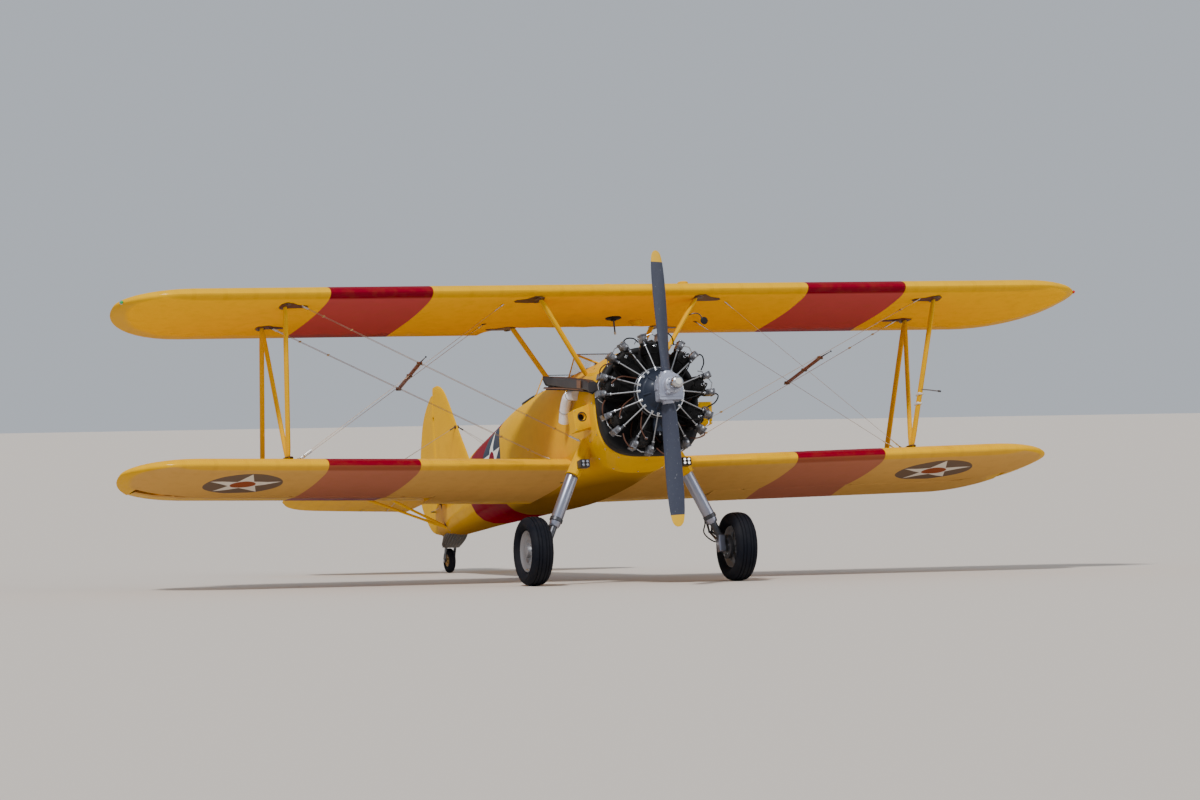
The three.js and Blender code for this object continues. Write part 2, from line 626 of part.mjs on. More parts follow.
// Struts and stays between the wings
function addRigging() {
  const { frontTop, frontFoot, rearTop, rearFoot } = INTERPLANE;
  const frame = join(strut(frontFoot, frontTop), strut(rearFoot, rearTop), strut(frontFoot, rearTop));
  const upper = wingSolid(UPPER, 0, undefined, SEAT_GAP);
  const lower = wingSolid(LOWER, 0, undefined, SEAT_GAP);
  addPair('interplane_struts', cut(frame, upper, lower), 'yellowMetal');
  CABANES.forEach(({ name, foot, top }) => {
    addPair(`cabane_strut_${name}`, cut(strut(foot, top), upper, SHELL), 'yellowMetal');
  });
  const wires = STAYS.flatMap(({ root, wing, top, foot }) => [[root, wing], [top, foot]]);

  // Where the two stays of a pair cross as seen from in front, and the rod that runs aft through both places
  const [near, far] = STAYS.map(({ root, wing, top, foot }) => {
    const slopes = [[root, wing], [top, foot]].map(([a, b]) => (b[2] - a[2]) / (b[0] - a[0]));
    const x = (top[2] - root[2] + slopes[0] * root[0] - slopes[1] * top[0]) / (slopes[0] - slopes[1]);
    const yOn = (a, b) => a[1] + ((b[1] - a[1]) * (x - a[0])) / (b[0] - a[0]);
    const ys = [yOn(root, wing), yOn(top, foot)];
    return { x, z: root[2] + slopes[0] * (x - root[0]), first: Math.min(...ys), last: Math.max(...ys) };
  });
  const run = [
    [near.x, near.first - SPREADER.ahead, near.z], [near.x, near.last, near.z],
    [far.x, far.first, far.z], [far.x, far.last + SPREADER.behind, far.z],
  ];
  const spreader = loft(run.map((place) => circle(SPREADER.sides, (cos, sin) => {
    return point(place).add(new THREE.Vector3(SPREADER.radius * cos, 0, SPREADER.radius * sin));
  })));
  const bars = wires.map(([a, b]) => rod(a, b, STAY_RADIUS, 4));
  addPair('stays', cut(join(spreader, ...bars), upper, lower, SHELL, gearFairing(SEAT_GAP)), 'steel');
}

// Tail plates: a rounded fixed plate ahead of the hinge and a tapering one behind it.
function fixedRing(lead, back, half, place) {
  const chord = back - lead;
  const shape = [[back, 0.92], [lead + 0.55 * chord, 1], [lead + 0.15 * chord, 0.72], [lead, 0.12]];
  const upper = shape.map(([y, share]) => place(y, share * half));
  const under = shape.map(([y, share]) => place(y, -share * half)).reverse();
  return [...upper, ...under];
}

function movingRing(hinge, trail, half, place) {
  const shape = [[hinge, 1], [hinge + 0.55 * (trail - hinge), 0.55], [trail, 0.1]];
  const upper = shape.map(([y, share]) => place(y, share * half));
  const under = shape.map(([y, share]) => place(y, -share * half)).reverse();
  return [...upper, ...under];
}

function addTail() {
  const { hinge, z, nose, noseTip, rest } = ELEVATOR;
  const finBack = RUDDER.hinge - RUDDER.nose - SURFACE_GAP;
  const finRing = (row, grow) => fixedRing(row.lead, finBack, row.half + grow, (y, off) => {
    return new THREE.Vector3(off, y, row.z);
  });
  const finLugs = RUDDER_HINGES.map((at) => {
    return lug([0, RUDDER.hinge, at], [0, 0, 1], [0, -1, 0], RUDDER.nose + LUG.tailRoot);
  });
  const fin = cut(loft(FIN.map((row) => finRing(row, 0))), SHELL, tubeBore());
  add('fin', join(fin, ...finLugs), 'yellow');

  const bladeRings = RUDDER_BLADE.map((row) => {
    return movingRing(RUDDER.hinge, row.trail, row.half, (y, off) => new THREE.Vector3(off, y, row.z));
  });
  const [bottom, top] = [RUDDER_BLADE[0].z, RUDDER_BLADE.at(-1).z];
  const rudderNose = rod([0, RUDDER.hinge, bottom], [0, RUDDER.hinge, top], RUDDER.nose, 12, RUDDER.noseTip);
  const rudderNotches = RUDDER_HINGES.map((at) => notch([0, RUDDER.hinge, at], [0, 0, 1], RUDDER.nose));
  add('rudder', cut(join(loft(bladeRings), rudderNose), ...rudderNotches), 'yellow');

  const back = hinge - nose - SURFACE_GAP;
  const tailRings = STABILISER.map((row) => {
    return fixedRing(row.lead, back, row.half, (y, off) => new THREE.Vector3(row.x, y, z + off));
  });
  const finGrown = loft(FIN.map((row) => finRing(row, SEAT_GAP)));
  const places = ELEVATOR_HINGES.map((x) => [x, hinge, z]);
  const tailLugs = places.map((place) => lug(place, [1, 0, 0], [0, -1, 0], nose + LUG.tailRoot));
  addPair('stabiliser', join(cut(loft(tailRings), SHELL, finGrown), ...tailLugs), 'yellow');

  const flapRings = ELEVATOR_BLADE.map((row) => movingRing(hinge, row.trail, row.half, (y, off) => {
    const share = (y - hinge) / (row.trail - hinge);
    return new THREE.Vector3(row.x + share * (row.xTrail - row.x), y, z + off);
  }));
  const outer = ELEVATOR_BLADE.at(-1).x;
  const flapNose = rod([ELEVATOR_BLADE[0].x, hinge, z], [outer, hinge, z], nose, 12, noseTip);
  const notches = places.map((place) => notch(place, [1, 0, 0], nose));
  const half = cut(join(loft(flapRings), flapNose), ...notches);
  const torque = rod([-TORQUE_TUBE.half, hinge, z], [TORQUE_TUBE.half, hinge, z], TORQUE_TUBE.radius, 12);
  add('elevator', deflect(join(half, mirrored(half), torque), [0, hinge, z], [1, 0, 0], rest), 'yellow');

  const { foot, ends, chord, width } = TAIL_STRUT;
  const legs = ends.map((end) => strut(foot, end, chord, width));
  const plate = loft(STABILISER.map((row) => fixedRing(row.lead, back, row.half + SEAT_GAP, (y, off) => {
    return new THREE.Vector3(row.x, y, z + off);
  })));
  addPair('tail_struts', cut(join(...legs), plate, SHELL), 'yellowMetal');
}

// Engine: crankcase, finned cylinders, rocker boxes and pushrod tubes, all carried by the case.
function spoke(geometry, degrees) {
  return geometry.rotateY(THREE.MathUtils.degToRad(degrees));
}

function cylinder() {
  const { base, barrel, fin, head, headStart, headEnd, crown } = ENGINE;
  const profile = [[0, base], [barrel, base]];
  for (let at = FINS.first; at < headStart - FINS.wide; at += FINS.pitch) {
    profile.push([barrel, at], [fin, at + FINS.wide / 2], [barrel, at + FINS.wide]);
  }
  profile.push([barrel, headStart - crown.under], [head, headStart], [head, headEnd - crown.edge]);
  profile.push([head - crown.round, headEnd], [0, headEnd]);
  const pot = turned(profile, 8).rotateX(Math.PI / 2).translate(0, CYLINDER_Y, 0);
  const rockers = [-1, 1].map((side) => boxBetween(
    [side * ROCKER.offset - ROCKER.width / 2, CYLINDER_Y - ROCKER.depth * ROCKER.ahead, ROCKER.start],
    [side * ROCKER.offset + ROCKER.width / 2, CYLINDER_Y + ROCKER.depth * (1 - ROCKER.ahead), ROCKER.end],
  ));
  const rods = [-1, 1].map((side) => {
    const reach = (radius, y, degrees) => {
      const turn = side * THREE.MathUtils.degToRad(degrees);
      return [radius * Math.sin(turn), y, radius * Math.cos(turn)];
    };
    const from = reach(PUSHROD.inner, PUSHROD.innerY, PUSHROD.innerTurn);
    return rod(from, reach(PUSHROD.outer, PUSHROD.outerY, PUSHROD.outerTurn), PUSHROD.radius, 4);
  });
  const stub = rod([0, CYLINDER_Y, STUB.at], [0, COLLECTOR.front - SEAT_GAP, STUB.at], STUB.radius, 6);
  return join(pot, ...rockers, ...rods, stub);
}

function addEngine() {
  const { back, rear } = ENGINE;
  const shaftCase = turned([...CASE_PROFILE, [rear, back - SEAT_GAP], [0, back - SEAT_GAP]], 18);
  const pots = Array.from({ length: CYLINDERS }, (_, i) => spoke(cylinder(), (i * 360) / CYLINDERS));
  add('engine', join(shaftCase, ...pots), 'iron');

  // The collector has the cowl's own outline, a round hole, and a disc that carries it.
  const outline = [COLLECTOR.front, COLLECTOR.back].map((y) => ({ ...COWL_SECTIONS[0], y }));
  const hole = turned([[0, 0], [COLLECTOR.hole, 0], [COLLECTOR.hole, back], [0, back]], 24);
  const disc = (radius, from, to) => turned([[0, from], [radius, from], [radius, to], [0, to]], 24);
  const seat = disc(COLLECTOR.hole + COLLECTOR.seatOver, COLLECTOR.back - COLLECTOR.seat, back - SEAT_GAP);
  const opening = disc(COLLECTOR.opening, 0, 2 * back);
  add('exhaust_collector', cut(join(cut(bodySolid(outline), hole), seat), opening), 'soot');
}

// What hangs on the nose and its sides
function addNoseFittings() {
  const square = [[-1, 1], [1, 1], [1, -1], [-1, -1]];
  const duct = loft(DUCT.map(({ x, y, z, half, tall }) => {
    return square.map(([a, b]) => new THREE.Vector3(x + a * half, y, z + b * tall));
  }));
  const end = DUCT.at(-1);
  const inside = [end.half, end.tall].map((half) => 2 * (half - DUCT_MOUTH.wall));
  const mouth = box(inside[0], 2 * DUCT_MOUTH.depth, inside[1], [end.x, end.y, end.z]);
  add('exhaust_duct', cut(duct, mouth, SHELL), 'grey');

  const bend = new THREE.CatmullRomCurve3(PIPE.bend.map(point));
  const side = new THREE.Vector3(1, 0, 0);
  const rings = PIPE.bend.map((_, i) => {
    const share = i / (PIPE.bend.length - 1);
    const across = new THREE.Vector3().crossVectors(bend.getTangent(share), side).normalize();
    return circle(PIPE_SIDES, (cos, sin) => {
      const middle = bend.getPoint(share);
      return middle.addScaledVector(side, PIPE.radius * cos).addScaledVector(across, PIPE.radius * sin);
    });
  });
  add('exhaust_pipe', cut(loft(rings), SHELL), 'chrome');

  for (const { name, front, back, corners, hole } of AIR_BOXES) {
    const face = corners.map(([x, z]) => new THREE.Vector3(x, front, z));
    const rear = corners.map(([x, z]) => new THREE.Vector3(x, back, z));
    const bore = rod(
      [hole[0], front - AIR_BOX_HOLE.depth, hole[1]], [hole[0], front + AIR_BOX_HOLE.depth, hole[1]],
      AIR_BOX_HOLE.radius, 16,
    );
    add(name, cut(loft([face, rear]), bore, SHELL), 'yellowMetal');
  }
}

// Main gear: a faired leg, an oleo with its axle, and a wheel that turns on the axle.
function wheelRotor(profile, x, y, z) {
  return turned(profile, TYRE.sides).rotateZ(-Math.PI / 2).translate(x, y, z);
}

function addMainGear() {
  const { x, y, radius, running } = AXLE;
  const z = (TYRE.radius - PROP_HEIGHT + y * Math.sin(PARK_ANGLE)) / Math.cos(PARK_ANGLE);
  const { top, knee, chrome, knuckle } = GEAR;
  addPair('gear_fairing', cut(gearFairing(0), SHELL), 'yellowMetal');
  const leg = join(
    rod(knee, chrome, LEG.upper, 14),
    rod(chrome, knuckle, LEG.lower, 12),
    boxBetween(
      [knuckle[0] - KNUCKLE.inboard, y - KNUCKLE.along, z - KNUCKLE.below],
      [knuckle[0] + KNUCKLE.outboard, y + KNUCKLE.along, knuckle[2] + KNUCKLE.above],
    ),
    rod([knuckle[0], y, z], [x + TYRE.half - KNUCKLE.stubShort, y, z], radius, 16),
  );
  const down = point(knee).sub(point(top)).normalize();
  const capEnds = [SEAT_GAP, -LEG.capLength].map((run) => point(knee).addScaledVector(down, run).toArray());
  addPair('gear_leg', cut(leg, rod(...capEnds, LEG.capRadius)), 'chrome');
  const lamp = box(LIGHT.wide, LIGHT.depth, LIGHT.tall, [LIGHT.x, LIGHT.y + LIGHT.depth / 2, LIGHT.z]);
  addPair('landing_light', cut(lamp, gearFairing(SEAT_GAP)), 'steel');

  addPair('tyre', wheelRotor(TYRE_PROFILE, x, y, z), 'rubber');
  const inner = radius + running;
  const edge = TYRE.bead - SEAT_GAP;
  const { innerBack, back, front, hubFront } = RIM_EDGES;
  const rim = [
    [inner, innerBack], [edge, back], [edge, front], ...RIM_FACE, [inner, hubFront], [inner, innerBack],
  ];
  addPair('rim', wheelRotor(rim, x, y, z), 'steel');
}

// The tail wheel's parts are built upright about its axle and then set under the tail.
function addTailWheel() {
  const z = (TAIL_TYRE.radius - PROP_HEIGHT + TAIL_AXLE_Y * Math.sin(PARK_ANGLE)) / Math.cos(PARK_ANGLE);
  const upright = (geometry) => geometry.rotateX(PARK_ANGLE).translate(0, TAIL_AXLE_Y, z);
  const { half, bead } = TAIL_TYRE;
  const bore = FORK.pin + FORK.running;
  const edge = bead - SEAT_GAP;
  const { across } = TAIL_BEAD;
  const rim = [[bore, -half], [edge, -across], [edge, across], [bore, half], [bore, -half]];
  add('tail_tyre', upright(turned(TAIL_TYRE_PROFILE, TAIL_TYRE.sides).rotateZ(-Math.PI / 2)), 'rubber');
  add('tail_rim', upright(turned(rim, TAIL_TYRE.sides).rotateZ(-Math.PI / 2)), 'yellowMetal');

  const plateX = half + FORK.gap;
  const side = new THREE.Shape(FORK_SIDE.map(([along, up]) => new THREE.Vector2(along, up)));
  const plate = new THREE.ExtrudeGeometry(side, { depth: FORK.plate, bevelEnabled: false });
  plate.applyMatrix4(new THREE.Matrix4().makeBasis(
    new THREE.Vector3(0, 1, 0), new THREE.Vector3(0, 0, 1), new THREE.Vector3(1, 0, 0),
  ));
  const left = plate.translate(plateX, 0, 0);
  const { inset, crownBack, crownFront, crown: low, top } = FORK;
  const crown = boxBetween([-plateX - inset, crownBack, low], [plateX + inset, crownFront, top]);
  const post = rod([0, -TRAIL, top - inset], [0, -TRAIL, FORK.roof - SEAT_GAP], FORK.post, 12);
  const pinEnd = plateX + 2 * inset;
  const pin = rod([-pinEnd, 0, 0], [pinEnd, 0, 0], FORK.pin, 12);
  add('tail_fork', upright(join(left, mirrored(left), crown, post, pin)), 'iron');

  const ring = (middle, halfX, halfY) => circle(BOOT_SIDES, (cos, sin) => {
    return point(middle).add(new THREE.Vector3(halfX * cos, halfY * sin, 0));
  });
  const setRing = ring([0, -TRAIL, FORK.crown - inset], FORK.rim, FORK.rim).map((p) => {
    const tipped = p.applyAxisAngle(new THREE.Vector3(1, 0, 0), PARK_ANGLE);
    return tipped.add(new THREE.Vector3(0, TAIL_AXLE_Y, z));
  });
  const boot = loft([setRing, ...BOOT_RINGS.map((row) => ring([0, row.y, row.z], row.halfX, row.halfY))]);
  const hollow = upright(rod([0, -TRAIL, 0], [0, -TRAIL, FORK.roof], FORK.cavity, 24));
  add('tail_wheel_boot', cut(boot, hollow, SHELL), 'canvas');
}

// Propeller: two metal blades in a steel hub
function addPropeller() {
  const root = BLADE[0].r - SEAT_GAP;
  const { clamp } = HUB;
  const hub = join(
    turned([...HUB_PROFILE, [HUB.neck, HUB.back - SEAT_GAP], [0, HUB.back - SEAT_GAP]], 16),
    rod([0, 0, -root], [0, 0, root], HUB.socket, 12).scale(HUB.widen, 1, 1),
    boxBetween([-clamp.half, clamp.front, -clamp.tall], [clamp.half, clamp.back, clamp.tall]),
  );
  add('propeller_hub', hub, 'steel');
  const rings = BLADE.map(({ r, chord, thick, pitch }) => circle(BLADE_SIDES, (cos, sin) => {
    const section = new THREE.Vector3((chord / 2) * cos, (thick / 2) * sin, r);
    return section.applyAxisAngle(new THREE.Vector3(0, 0, 1), THREE.MathUtils.degToRad(pitch));
  }));
  const blade = loft(rings);
  add('propeller_blade_upper', blade, 'grey');
  add('propeller_blade_lower', blade.clone().rotateY(Math.PI), 'grey');
}

addFuselage();
COCKPITS.forEach(addCockpit);
addUpperWing();
addLowerWing();
addRigging();
addTail();
addEngine();
addNoseFittings();
addMainGear();
addTailWheel();
addPropeller();

// Nose up on its wheels, with the ground at Z = 0 and the middle of its box over the origin
parts.rotation.x = -PARK_ANGLE;
parts.position.set(0, -PROP_FORWARD, PROP_HEIGHT);
const biplane = new THREE.Group();
biplane.add(parts);

export default biplane;
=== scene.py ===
# %% [markdown]
# # A biplane trainer, dressed for a studio picture
#
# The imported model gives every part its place, size and motion. This lesson gives the same parts their
# looks: doped fabric stretched over ribs, gloss paint, an open radial engine, rubber and worn steel.
# Each step first says what the real piece is, then how it is made here and why.

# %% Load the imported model
import random
from math import atan2, copysign, cos, exp, pi, radians, sin, sqrt, tan
from types import SimpleNamespace

import bmesh
import bpy
from mathutils import Matrix, Vector


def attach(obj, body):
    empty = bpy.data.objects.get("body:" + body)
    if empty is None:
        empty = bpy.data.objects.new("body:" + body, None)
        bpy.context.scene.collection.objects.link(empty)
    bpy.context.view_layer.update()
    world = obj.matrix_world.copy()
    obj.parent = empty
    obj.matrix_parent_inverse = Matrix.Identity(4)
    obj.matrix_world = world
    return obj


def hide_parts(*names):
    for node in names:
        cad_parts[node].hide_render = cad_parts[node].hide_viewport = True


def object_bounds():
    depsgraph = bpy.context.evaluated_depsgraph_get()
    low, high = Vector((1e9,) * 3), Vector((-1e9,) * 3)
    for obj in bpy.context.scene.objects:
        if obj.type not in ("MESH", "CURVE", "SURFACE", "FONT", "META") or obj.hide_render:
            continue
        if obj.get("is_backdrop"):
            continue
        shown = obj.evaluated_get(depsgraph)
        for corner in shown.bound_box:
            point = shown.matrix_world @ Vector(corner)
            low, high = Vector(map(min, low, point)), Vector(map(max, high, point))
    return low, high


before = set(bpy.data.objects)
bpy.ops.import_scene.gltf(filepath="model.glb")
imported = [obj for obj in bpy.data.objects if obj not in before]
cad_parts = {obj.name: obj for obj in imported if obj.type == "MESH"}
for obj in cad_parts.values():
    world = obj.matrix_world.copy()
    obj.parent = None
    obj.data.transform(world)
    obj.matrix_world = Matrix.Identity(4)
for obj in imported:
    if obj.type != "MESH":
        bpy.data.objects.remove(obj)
cad_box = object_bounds()
print("packed nodes:", len(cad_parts), "box:", cad_box)

# %% [markdown]
# ## The flight frame
#
# An aircraft is drawn level, along its thrust line, although it parks nose up. Every number below is
# in metres in that level frame: x to port, y aft from the propeller's centre, z up. One matrix then
# tips a finished mesh onto its wheels, so that no place has to be worked out at an angle.

# %% Flight frame
PARK_ANGLE = radians(11.0)
PROPELLER = Vector((0, -3.521, 1.8587))
PORT, AFT, UP = (Vector(way) for way in ((1, 0, 0), (0, 1, 0), (0, 0, 1)))
SIDES = ((1, "left"), (-1, "right"))
FLIGHT = Matrix.Translation(PROPELLER) @ Matrix.Rotation(-PARK_ANGLE, 4, "X")


def on_side(side, point):
    """A point given for the port side (side 1), or its mirror image (side -1)."""
    return Vector((side * point[0], point[1], point[2]))


print("the wheels stand at", [[round(v, 3) for v in FLIGHT @ on_side(side, (1.034, 1.199, -1.324))]
                              for side in (1, -1)])

# %% [markdown]
# ## The camera
#
# The picture was taken with a long lens from far off, low, and about twenty degrees to starboard of
# the nose. Such a view is nearly parallel, which keeps the near and far wing tips almost equal. The
# camera is built from its direction, its distance and three small turns, in the order in which a
# photographer would make them: aim, tilt, roll.

# %% Camera
IMAGE_WIDTH = 1200
FOCAL_PIXELS = 6971.6
SENSOR_WIDTH = 36.0


def table(columns, *rows):
    """Rows of values, each read by its column's name, as in row.name."""
    return [SimpleNamespace(**dict(zip(columns.split(), row))) for row in rows]


def turned_pair(first, second, degrees):
    """Two axes of a right angle after a turn in their own plane."""
    cosine, sine = cos(radians(degrees)), sin(radians(degrees))
    return first * cosine - second * sine, first * sine + second * cosine


(VIEW,) = table("side distance height aim tilt roll bank", (20.495, 65.642, 1.672, -0.559, 0.0706, -0.688,
                                                            0.255))
right, ahead = turned_pair(PORT, AFT, VIEW.side)
position = -VIEW.distance * ahead + Vector((0, PROPELLER.y, VIEW.height))
right, ahead = turned_pair(right, ahead, VIEW.aim)
up, ahead = turned_pair(UP, ahead, VIEW.tilt)
up, right = turned_pair(up, right, VIEW.roll)
bank = Matrix.Rotation(radians(VIEW.bank), 3, "Y")
axes = [bank @ axis for axis in (right, up, -ahead)]

camera = bpy.data.objects.new("camera", bpy.data.cameras.new("camera"))
bpy.context.scene.collection.objects.link(camera)
bpy.context.scene.camera = camera
camera.data.sensor_width = SENSOR_WIDTH
camera.data.lens = FOCAL_PIXELS / IMAGE_WIDTH * SENSOR_WIDTH
camera.data.clip_end = 500.0
camera.matrix_world = Matrix.LocRotScale(bank @ position, Matrix(axes).transposed().to_quaternion(), None)
print("camera at", [round(v, 2) for v in camera.location], "lens", round(camera.data.lens, 1))

# %% [markdown]
# ## Floor and light
#
# A large pale floor and a pale surround stand in for a studio. One broad lamp, high and to the left,
# gives the soft shadow under the wings, and a weaker one opens the shaded side.

# %% Floor and light
FLOOR_HALF = 400.0
FLOOR_COLOUR = (0.56, 0.5, 0.44, 1.0)
SKY_COLOUR = (0.8, 0.86, 0.95, 1.0)
SKY_STRENGTH = 0.62
LAMPS = table("name place strength spread",
              ("key_lamp", (-9.0, -10.0, 17.0), 3.4, 7.0),
              ("fill_lamp", (14.0, -12.0, 7.0), 0.7, 40.0))

floor_mesh = bpy.data.meshes.new("floor")
corners = [(-FLOOR_HALF, -FLOOR_HALF, 0), (FLOOR_HALF, -FLOOR_HALF, 0), (FLOOR_HALF, FLOOR_HALF, 0),
           (-FLOOR_HALF, FLOOR_HALF, 0)]
floor_mesh.from_pydata(corners, [], [(0, 1, 2, 3)])
floor = bpy.data.objects.new("floor", floor_mesh)
bpy.context.scene.collection.objects.link(floor)
floor_finish = bpy.data.materials.new("studio_floor")
floor_finish.use_nodes = True
floor_finish.node_tree.nodes["Principled BSDF"].inputs["Base Color"].default_value = FLOOR_COLOUR
floor_finish.node_tree.nodes["Principled BSDF"].inputs["Roughness"].default_value = 0.9
floor_mesh.materials.append(floor_finish)
floor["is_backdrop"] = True

world = bpy.data.worlds.new("studio")
world.use_nodes = True
world.node_tree.nodes["Background"].inputs["Color"].default_value = SKY_COLOUR
world.node_tree.nodes["Background"].inputs["Strength"].default_value = SKY_STRENGTH
bpy.context.scene.world = world
for row in LAMPS:
    lamp = bpy.data.objects.new(row.name, bpy.data.lights.new(row.name, "SUN"))
    lamp.data.energy = row.strength
    lamp.data.angle = radians(row.spread)
    lamp.rotation_mode = "QUATERNION"
    lamp.rotation_quaternion = Vector(row.place).to_track_quat("Z", "Y")
    bpy.context.scene.collection.objects.link(lamp)
print("lamps:", [row.name for row in LAMPS])

# %% [markdown]
# ## Writing materials as sums
#
# A paint that changes over a surface is a formula: a red band is "the distance from the middle of the
# aircraft lies between two values". Wiring Math nodes by hand hides such a formula, so one small class
# wraps a socket and lets Python's own signs add the nodes. A second class is one material: it makes any
# other node and feeds the shader.

# %% Signal and Finish
class Signal:
    """A socket's value, for use in sums with numbers and other Signals."""

    def __init__(self, finish, socket):
        self.finish = finish
        self.socket = socket

    def math(self, operation, *others, clamp=False):
        values = dict(enumerate((self, *others)))
        return self.finish.node("Math", {"operation": operation, "use_clamp": clamp}, values)

    def __add__(self, other):
        return self.math("ADD", other)

    __radd__ = __add__

    def __sub__(self, other):
        return self.math("SUBTRACT", other)

    def __rsub__(self, other):
        return self * -1.0 + other

    def __mul__(self, other):
        return self.math("MULTIPLY", other)

    __rmul__ = __mul__

    def __truediv__(self, other):
        return self.math("DIVIDE", other)

    def __abs__(self):
        return self.math("ABSOLUTE")

    def above(self, edge, soft=0.004):
        """0 below the edge and 1 above it, over a short soft step."""
        return ((self - edge) / soft + 0.5).math("MULTIPLY", 1.0, clamp=True)

    def between(self, low, high, soft=0.004):
        return self.above(low, soft) * (1.0 - self.above(high, soft))

    def to_nearest(self, pitch):
        """How far the value is from the nearest whole multiple of pitch."""
        return abs((self / pitch + 0.5).math("FRACT") - 0.5) * pitch


class Finish:
    """One material, built round its main shader."""

    def __init__(self, name, **constants):
        self.material = bpy.data.materials.new(name)
        self.material.use_nodes = True
        self.tree = self.material.node_tree
        self.shader = self.tree.nodes["Principled BSDF"]
        self.show(**constants)

    def node(self, kind, settings=None, sockets=None, output=0):
        made = self.tree.nodes.new("ShaderNode" + kind)
        for name, value in (settings or {}).items():
            setattr(made, name, value)
        for name, value in (sockets or {}).items():
            self.feed(made.inputs[name], value)
        return Signal(self, made.outputs[output])

    def feed(self, socket, value):
        if isinstance(value, Signal):
            self.tree.links.new(value.socket, socket)
        else:
            socket.default_value = value

    def show(self, **sockets):
        for name, value in sockets.items():
            self.feed(self.shader.inputs[name.replace("_", " ")], value)

    def mix(self, factor, first, second):
        return self.node("Mix", {"data_type": "RGBA"}, {0: factor, 6: first, 7: second}, output=2)

    def coordinates(self):
        return self.node("TexCoord", output=3)

    def noise(self, scale, detail=3.0, stretch=(1, 1, 1)):
        vector = self.node("Mapping", None, {"Vector": self.coordinates(), "Scale": stretch})
        return self.node("TexNoise", None, {"Vector": vector, "Scale": scale, "Detail": detail})

    def bump(self, height, distance):
        return self.node("Bump", None, {"Height": height, "Distance": distance})

    def flight_place(self):
        """x, y and z in the flight frame."""
        split = self.node("SeparateXYZ", None, {0: self.coordinates()})
        x, y, z = (Signal(self, split.socket.node.outputs[i]) for i in range(3))
        y, z = y - PROPELLER.y, z - PROPELLER.z
        cosine, sine = cos(PARK_ANGLE), sin(PARK_ANGLE)
        return x, y * cosine - z * sine, y * sine + z * cosine


def colour(red, green, blue):
    return (red, green, blue, 1.0)

# %% [markdown]
# ## Doped fabric and its markings
#
# The airframe is covered in fabric, shrunk tight and sprayed with chrome yellow. The wings carry a red
# band and a star in a disc. On the real machine these are masked and sprayed, so here they are masks in
# the paint, worked out from the place on the airframe, and no picture is needed. Rib tapes stand a hair
# proud of the fabric. Light and shade are painted in as well. The underside of the upper wing gets a painted
# glow for the light from the pale ground. That of the lower wing gets painted shade, darker and tinted dusty
# tan. The belly is painted darker brown, as shade with oil and dust stain. The paint is a little uneven
# everywhere.

# %% Yellow paint
YELLOW = colour(0.76, 0.42, 0)
DEEP_YELLOW = colour(0.69, 0.35, 0)
# LIT_ colours are a painted glow under the upper wing, for the light of the pale ground. SHADE_ colours are
# painted shade under the lower wing, and the yellow one is tinted dusty tan.
LIT_YELLOW = colour(0.98, 0.5, 0)
SHADE_YELLOW = colour(0.6, 0.34, 0.11)
RED = colour(0.2, 0.0, 0.012)
LIT_RED = colour(0.52, 0.085, 0.085)
SHADE_RED = colour(0.4, 0.115, 0.1)
DISC_BLUE = colour(0.04, 0.05, 0.075)
STAR_WHITE = colour(0.8, 0.78, 0.72)
STAR_Y, STAR_Z = 4.03, 0.05
BODY_BAND = (3.86, 4.96)
# The belly is painted dark brown: painted shade under the body, with oil and dust stain in it.
BELLY = SimpleNamespace(y=1.9, z=-0.54, rise=0.075)
BELLY_SHADE_AND_STAIN = colour(0.15, 0.066, 0.016)
UPPER_BAND, LOWER_BAND = (1.91, 2.93), (1.93, 2.85)
UPPER_UNDERSIDE = SimpleNamespace(z=1.154, y=0.965, slope=0.0805, start=1.03)
LOWER_UNDERSIDE = SimpleNamespace(z=-0.422, y=1.66, slope=0.0664, start=1.72, rise=0.0192)
BETWEEN_WINGS = 0.45
WING_STAR_X = 3.56
TOP_STAR = SimpleNamespace(y=1.72, radius=0.5, middle=0.16)
UNDER_STAR = SimpleNamespace(y=2.18, radius=0.385, middle=0.125)
RIB_PITCH = 0.305
TAPE_HALF = 0.022


def star(across, along, radius):
    """1 inside a five-pointed star whose first point lies towards minus along."""
    sector = 2 * pi / 5
    reach = (across * across + along * along).math("SQRT")
    turn = abs((across.math("ARCTAN2", along * -1.0) / sector + 0.5).math("FRACT") - 0.5) * sector
    edge = reach * (turn - sector).math("COSINE")
    return 1.0 - edge.above(radius * cos(sector))


def paint_star(finish, base, across, along, radius, centre_radius, where=1.0):
    """A disc with a white star and a red middle, sprayed over base."""
    reach = (across * across + along * along).math("SQRT")
    disc = (1.0 - reach.above(radius)) * where
    made = finish.mix(disc, base, DISC_BLUE)
    made = finish.mix(star(across, along, radius * 0.96) * disc, made, STAR_WHITE)
    return finish.mix((1.0 - reach.above(centre_radius)) * disc, made, RED)


def airframe_paint(name, mark=None, tapes=None):
    """Gloss yellow dope. mark adds the sprayed markings and the painted light and shade, tapes the pitch of
    the rib tapes.
    """
    finish = Finish(name, Coat_Roughness=0.12, Specular_IOR_Level=0.0)
    x, y, z = finish.flight_place()
    paint = finish.mix(finish.noise(1.7), YELLOW, DEEP_YELLOW)
    exposed = 1.0
    height = finish.noise(350.0, detail=2.0) * 0.12
    if tapes:
        tape = 1.0 - abs(x).to_nearest(tapes).above(TAPE_HALF, 0.006)
        height = height + tape
        paint = finish.mix(tape * 0.1, paint, colour(0.4, 0.19, 0))
    if mark:
        paint, exposed = mark(finish, paint, x, y, z)
    grime = finish.noise(9.0, detail=8.0).above(0.6, 0.25) * 0.1
    paint = finish.mix(grime, paint, colour(0.26, 0.12, 0.012))
    roughness = finish.noise(5.0, detail=5.0) * 0.16 + 0.3
    gloss = (finish.noise(3.0) * 0.1 + 0.12) * exposed
    finish.show(Base_Color=paint, Roughness=roughness, Coat_Weight=gloss, Normal=finish.bump(height, 0.0004))
    return finish.material


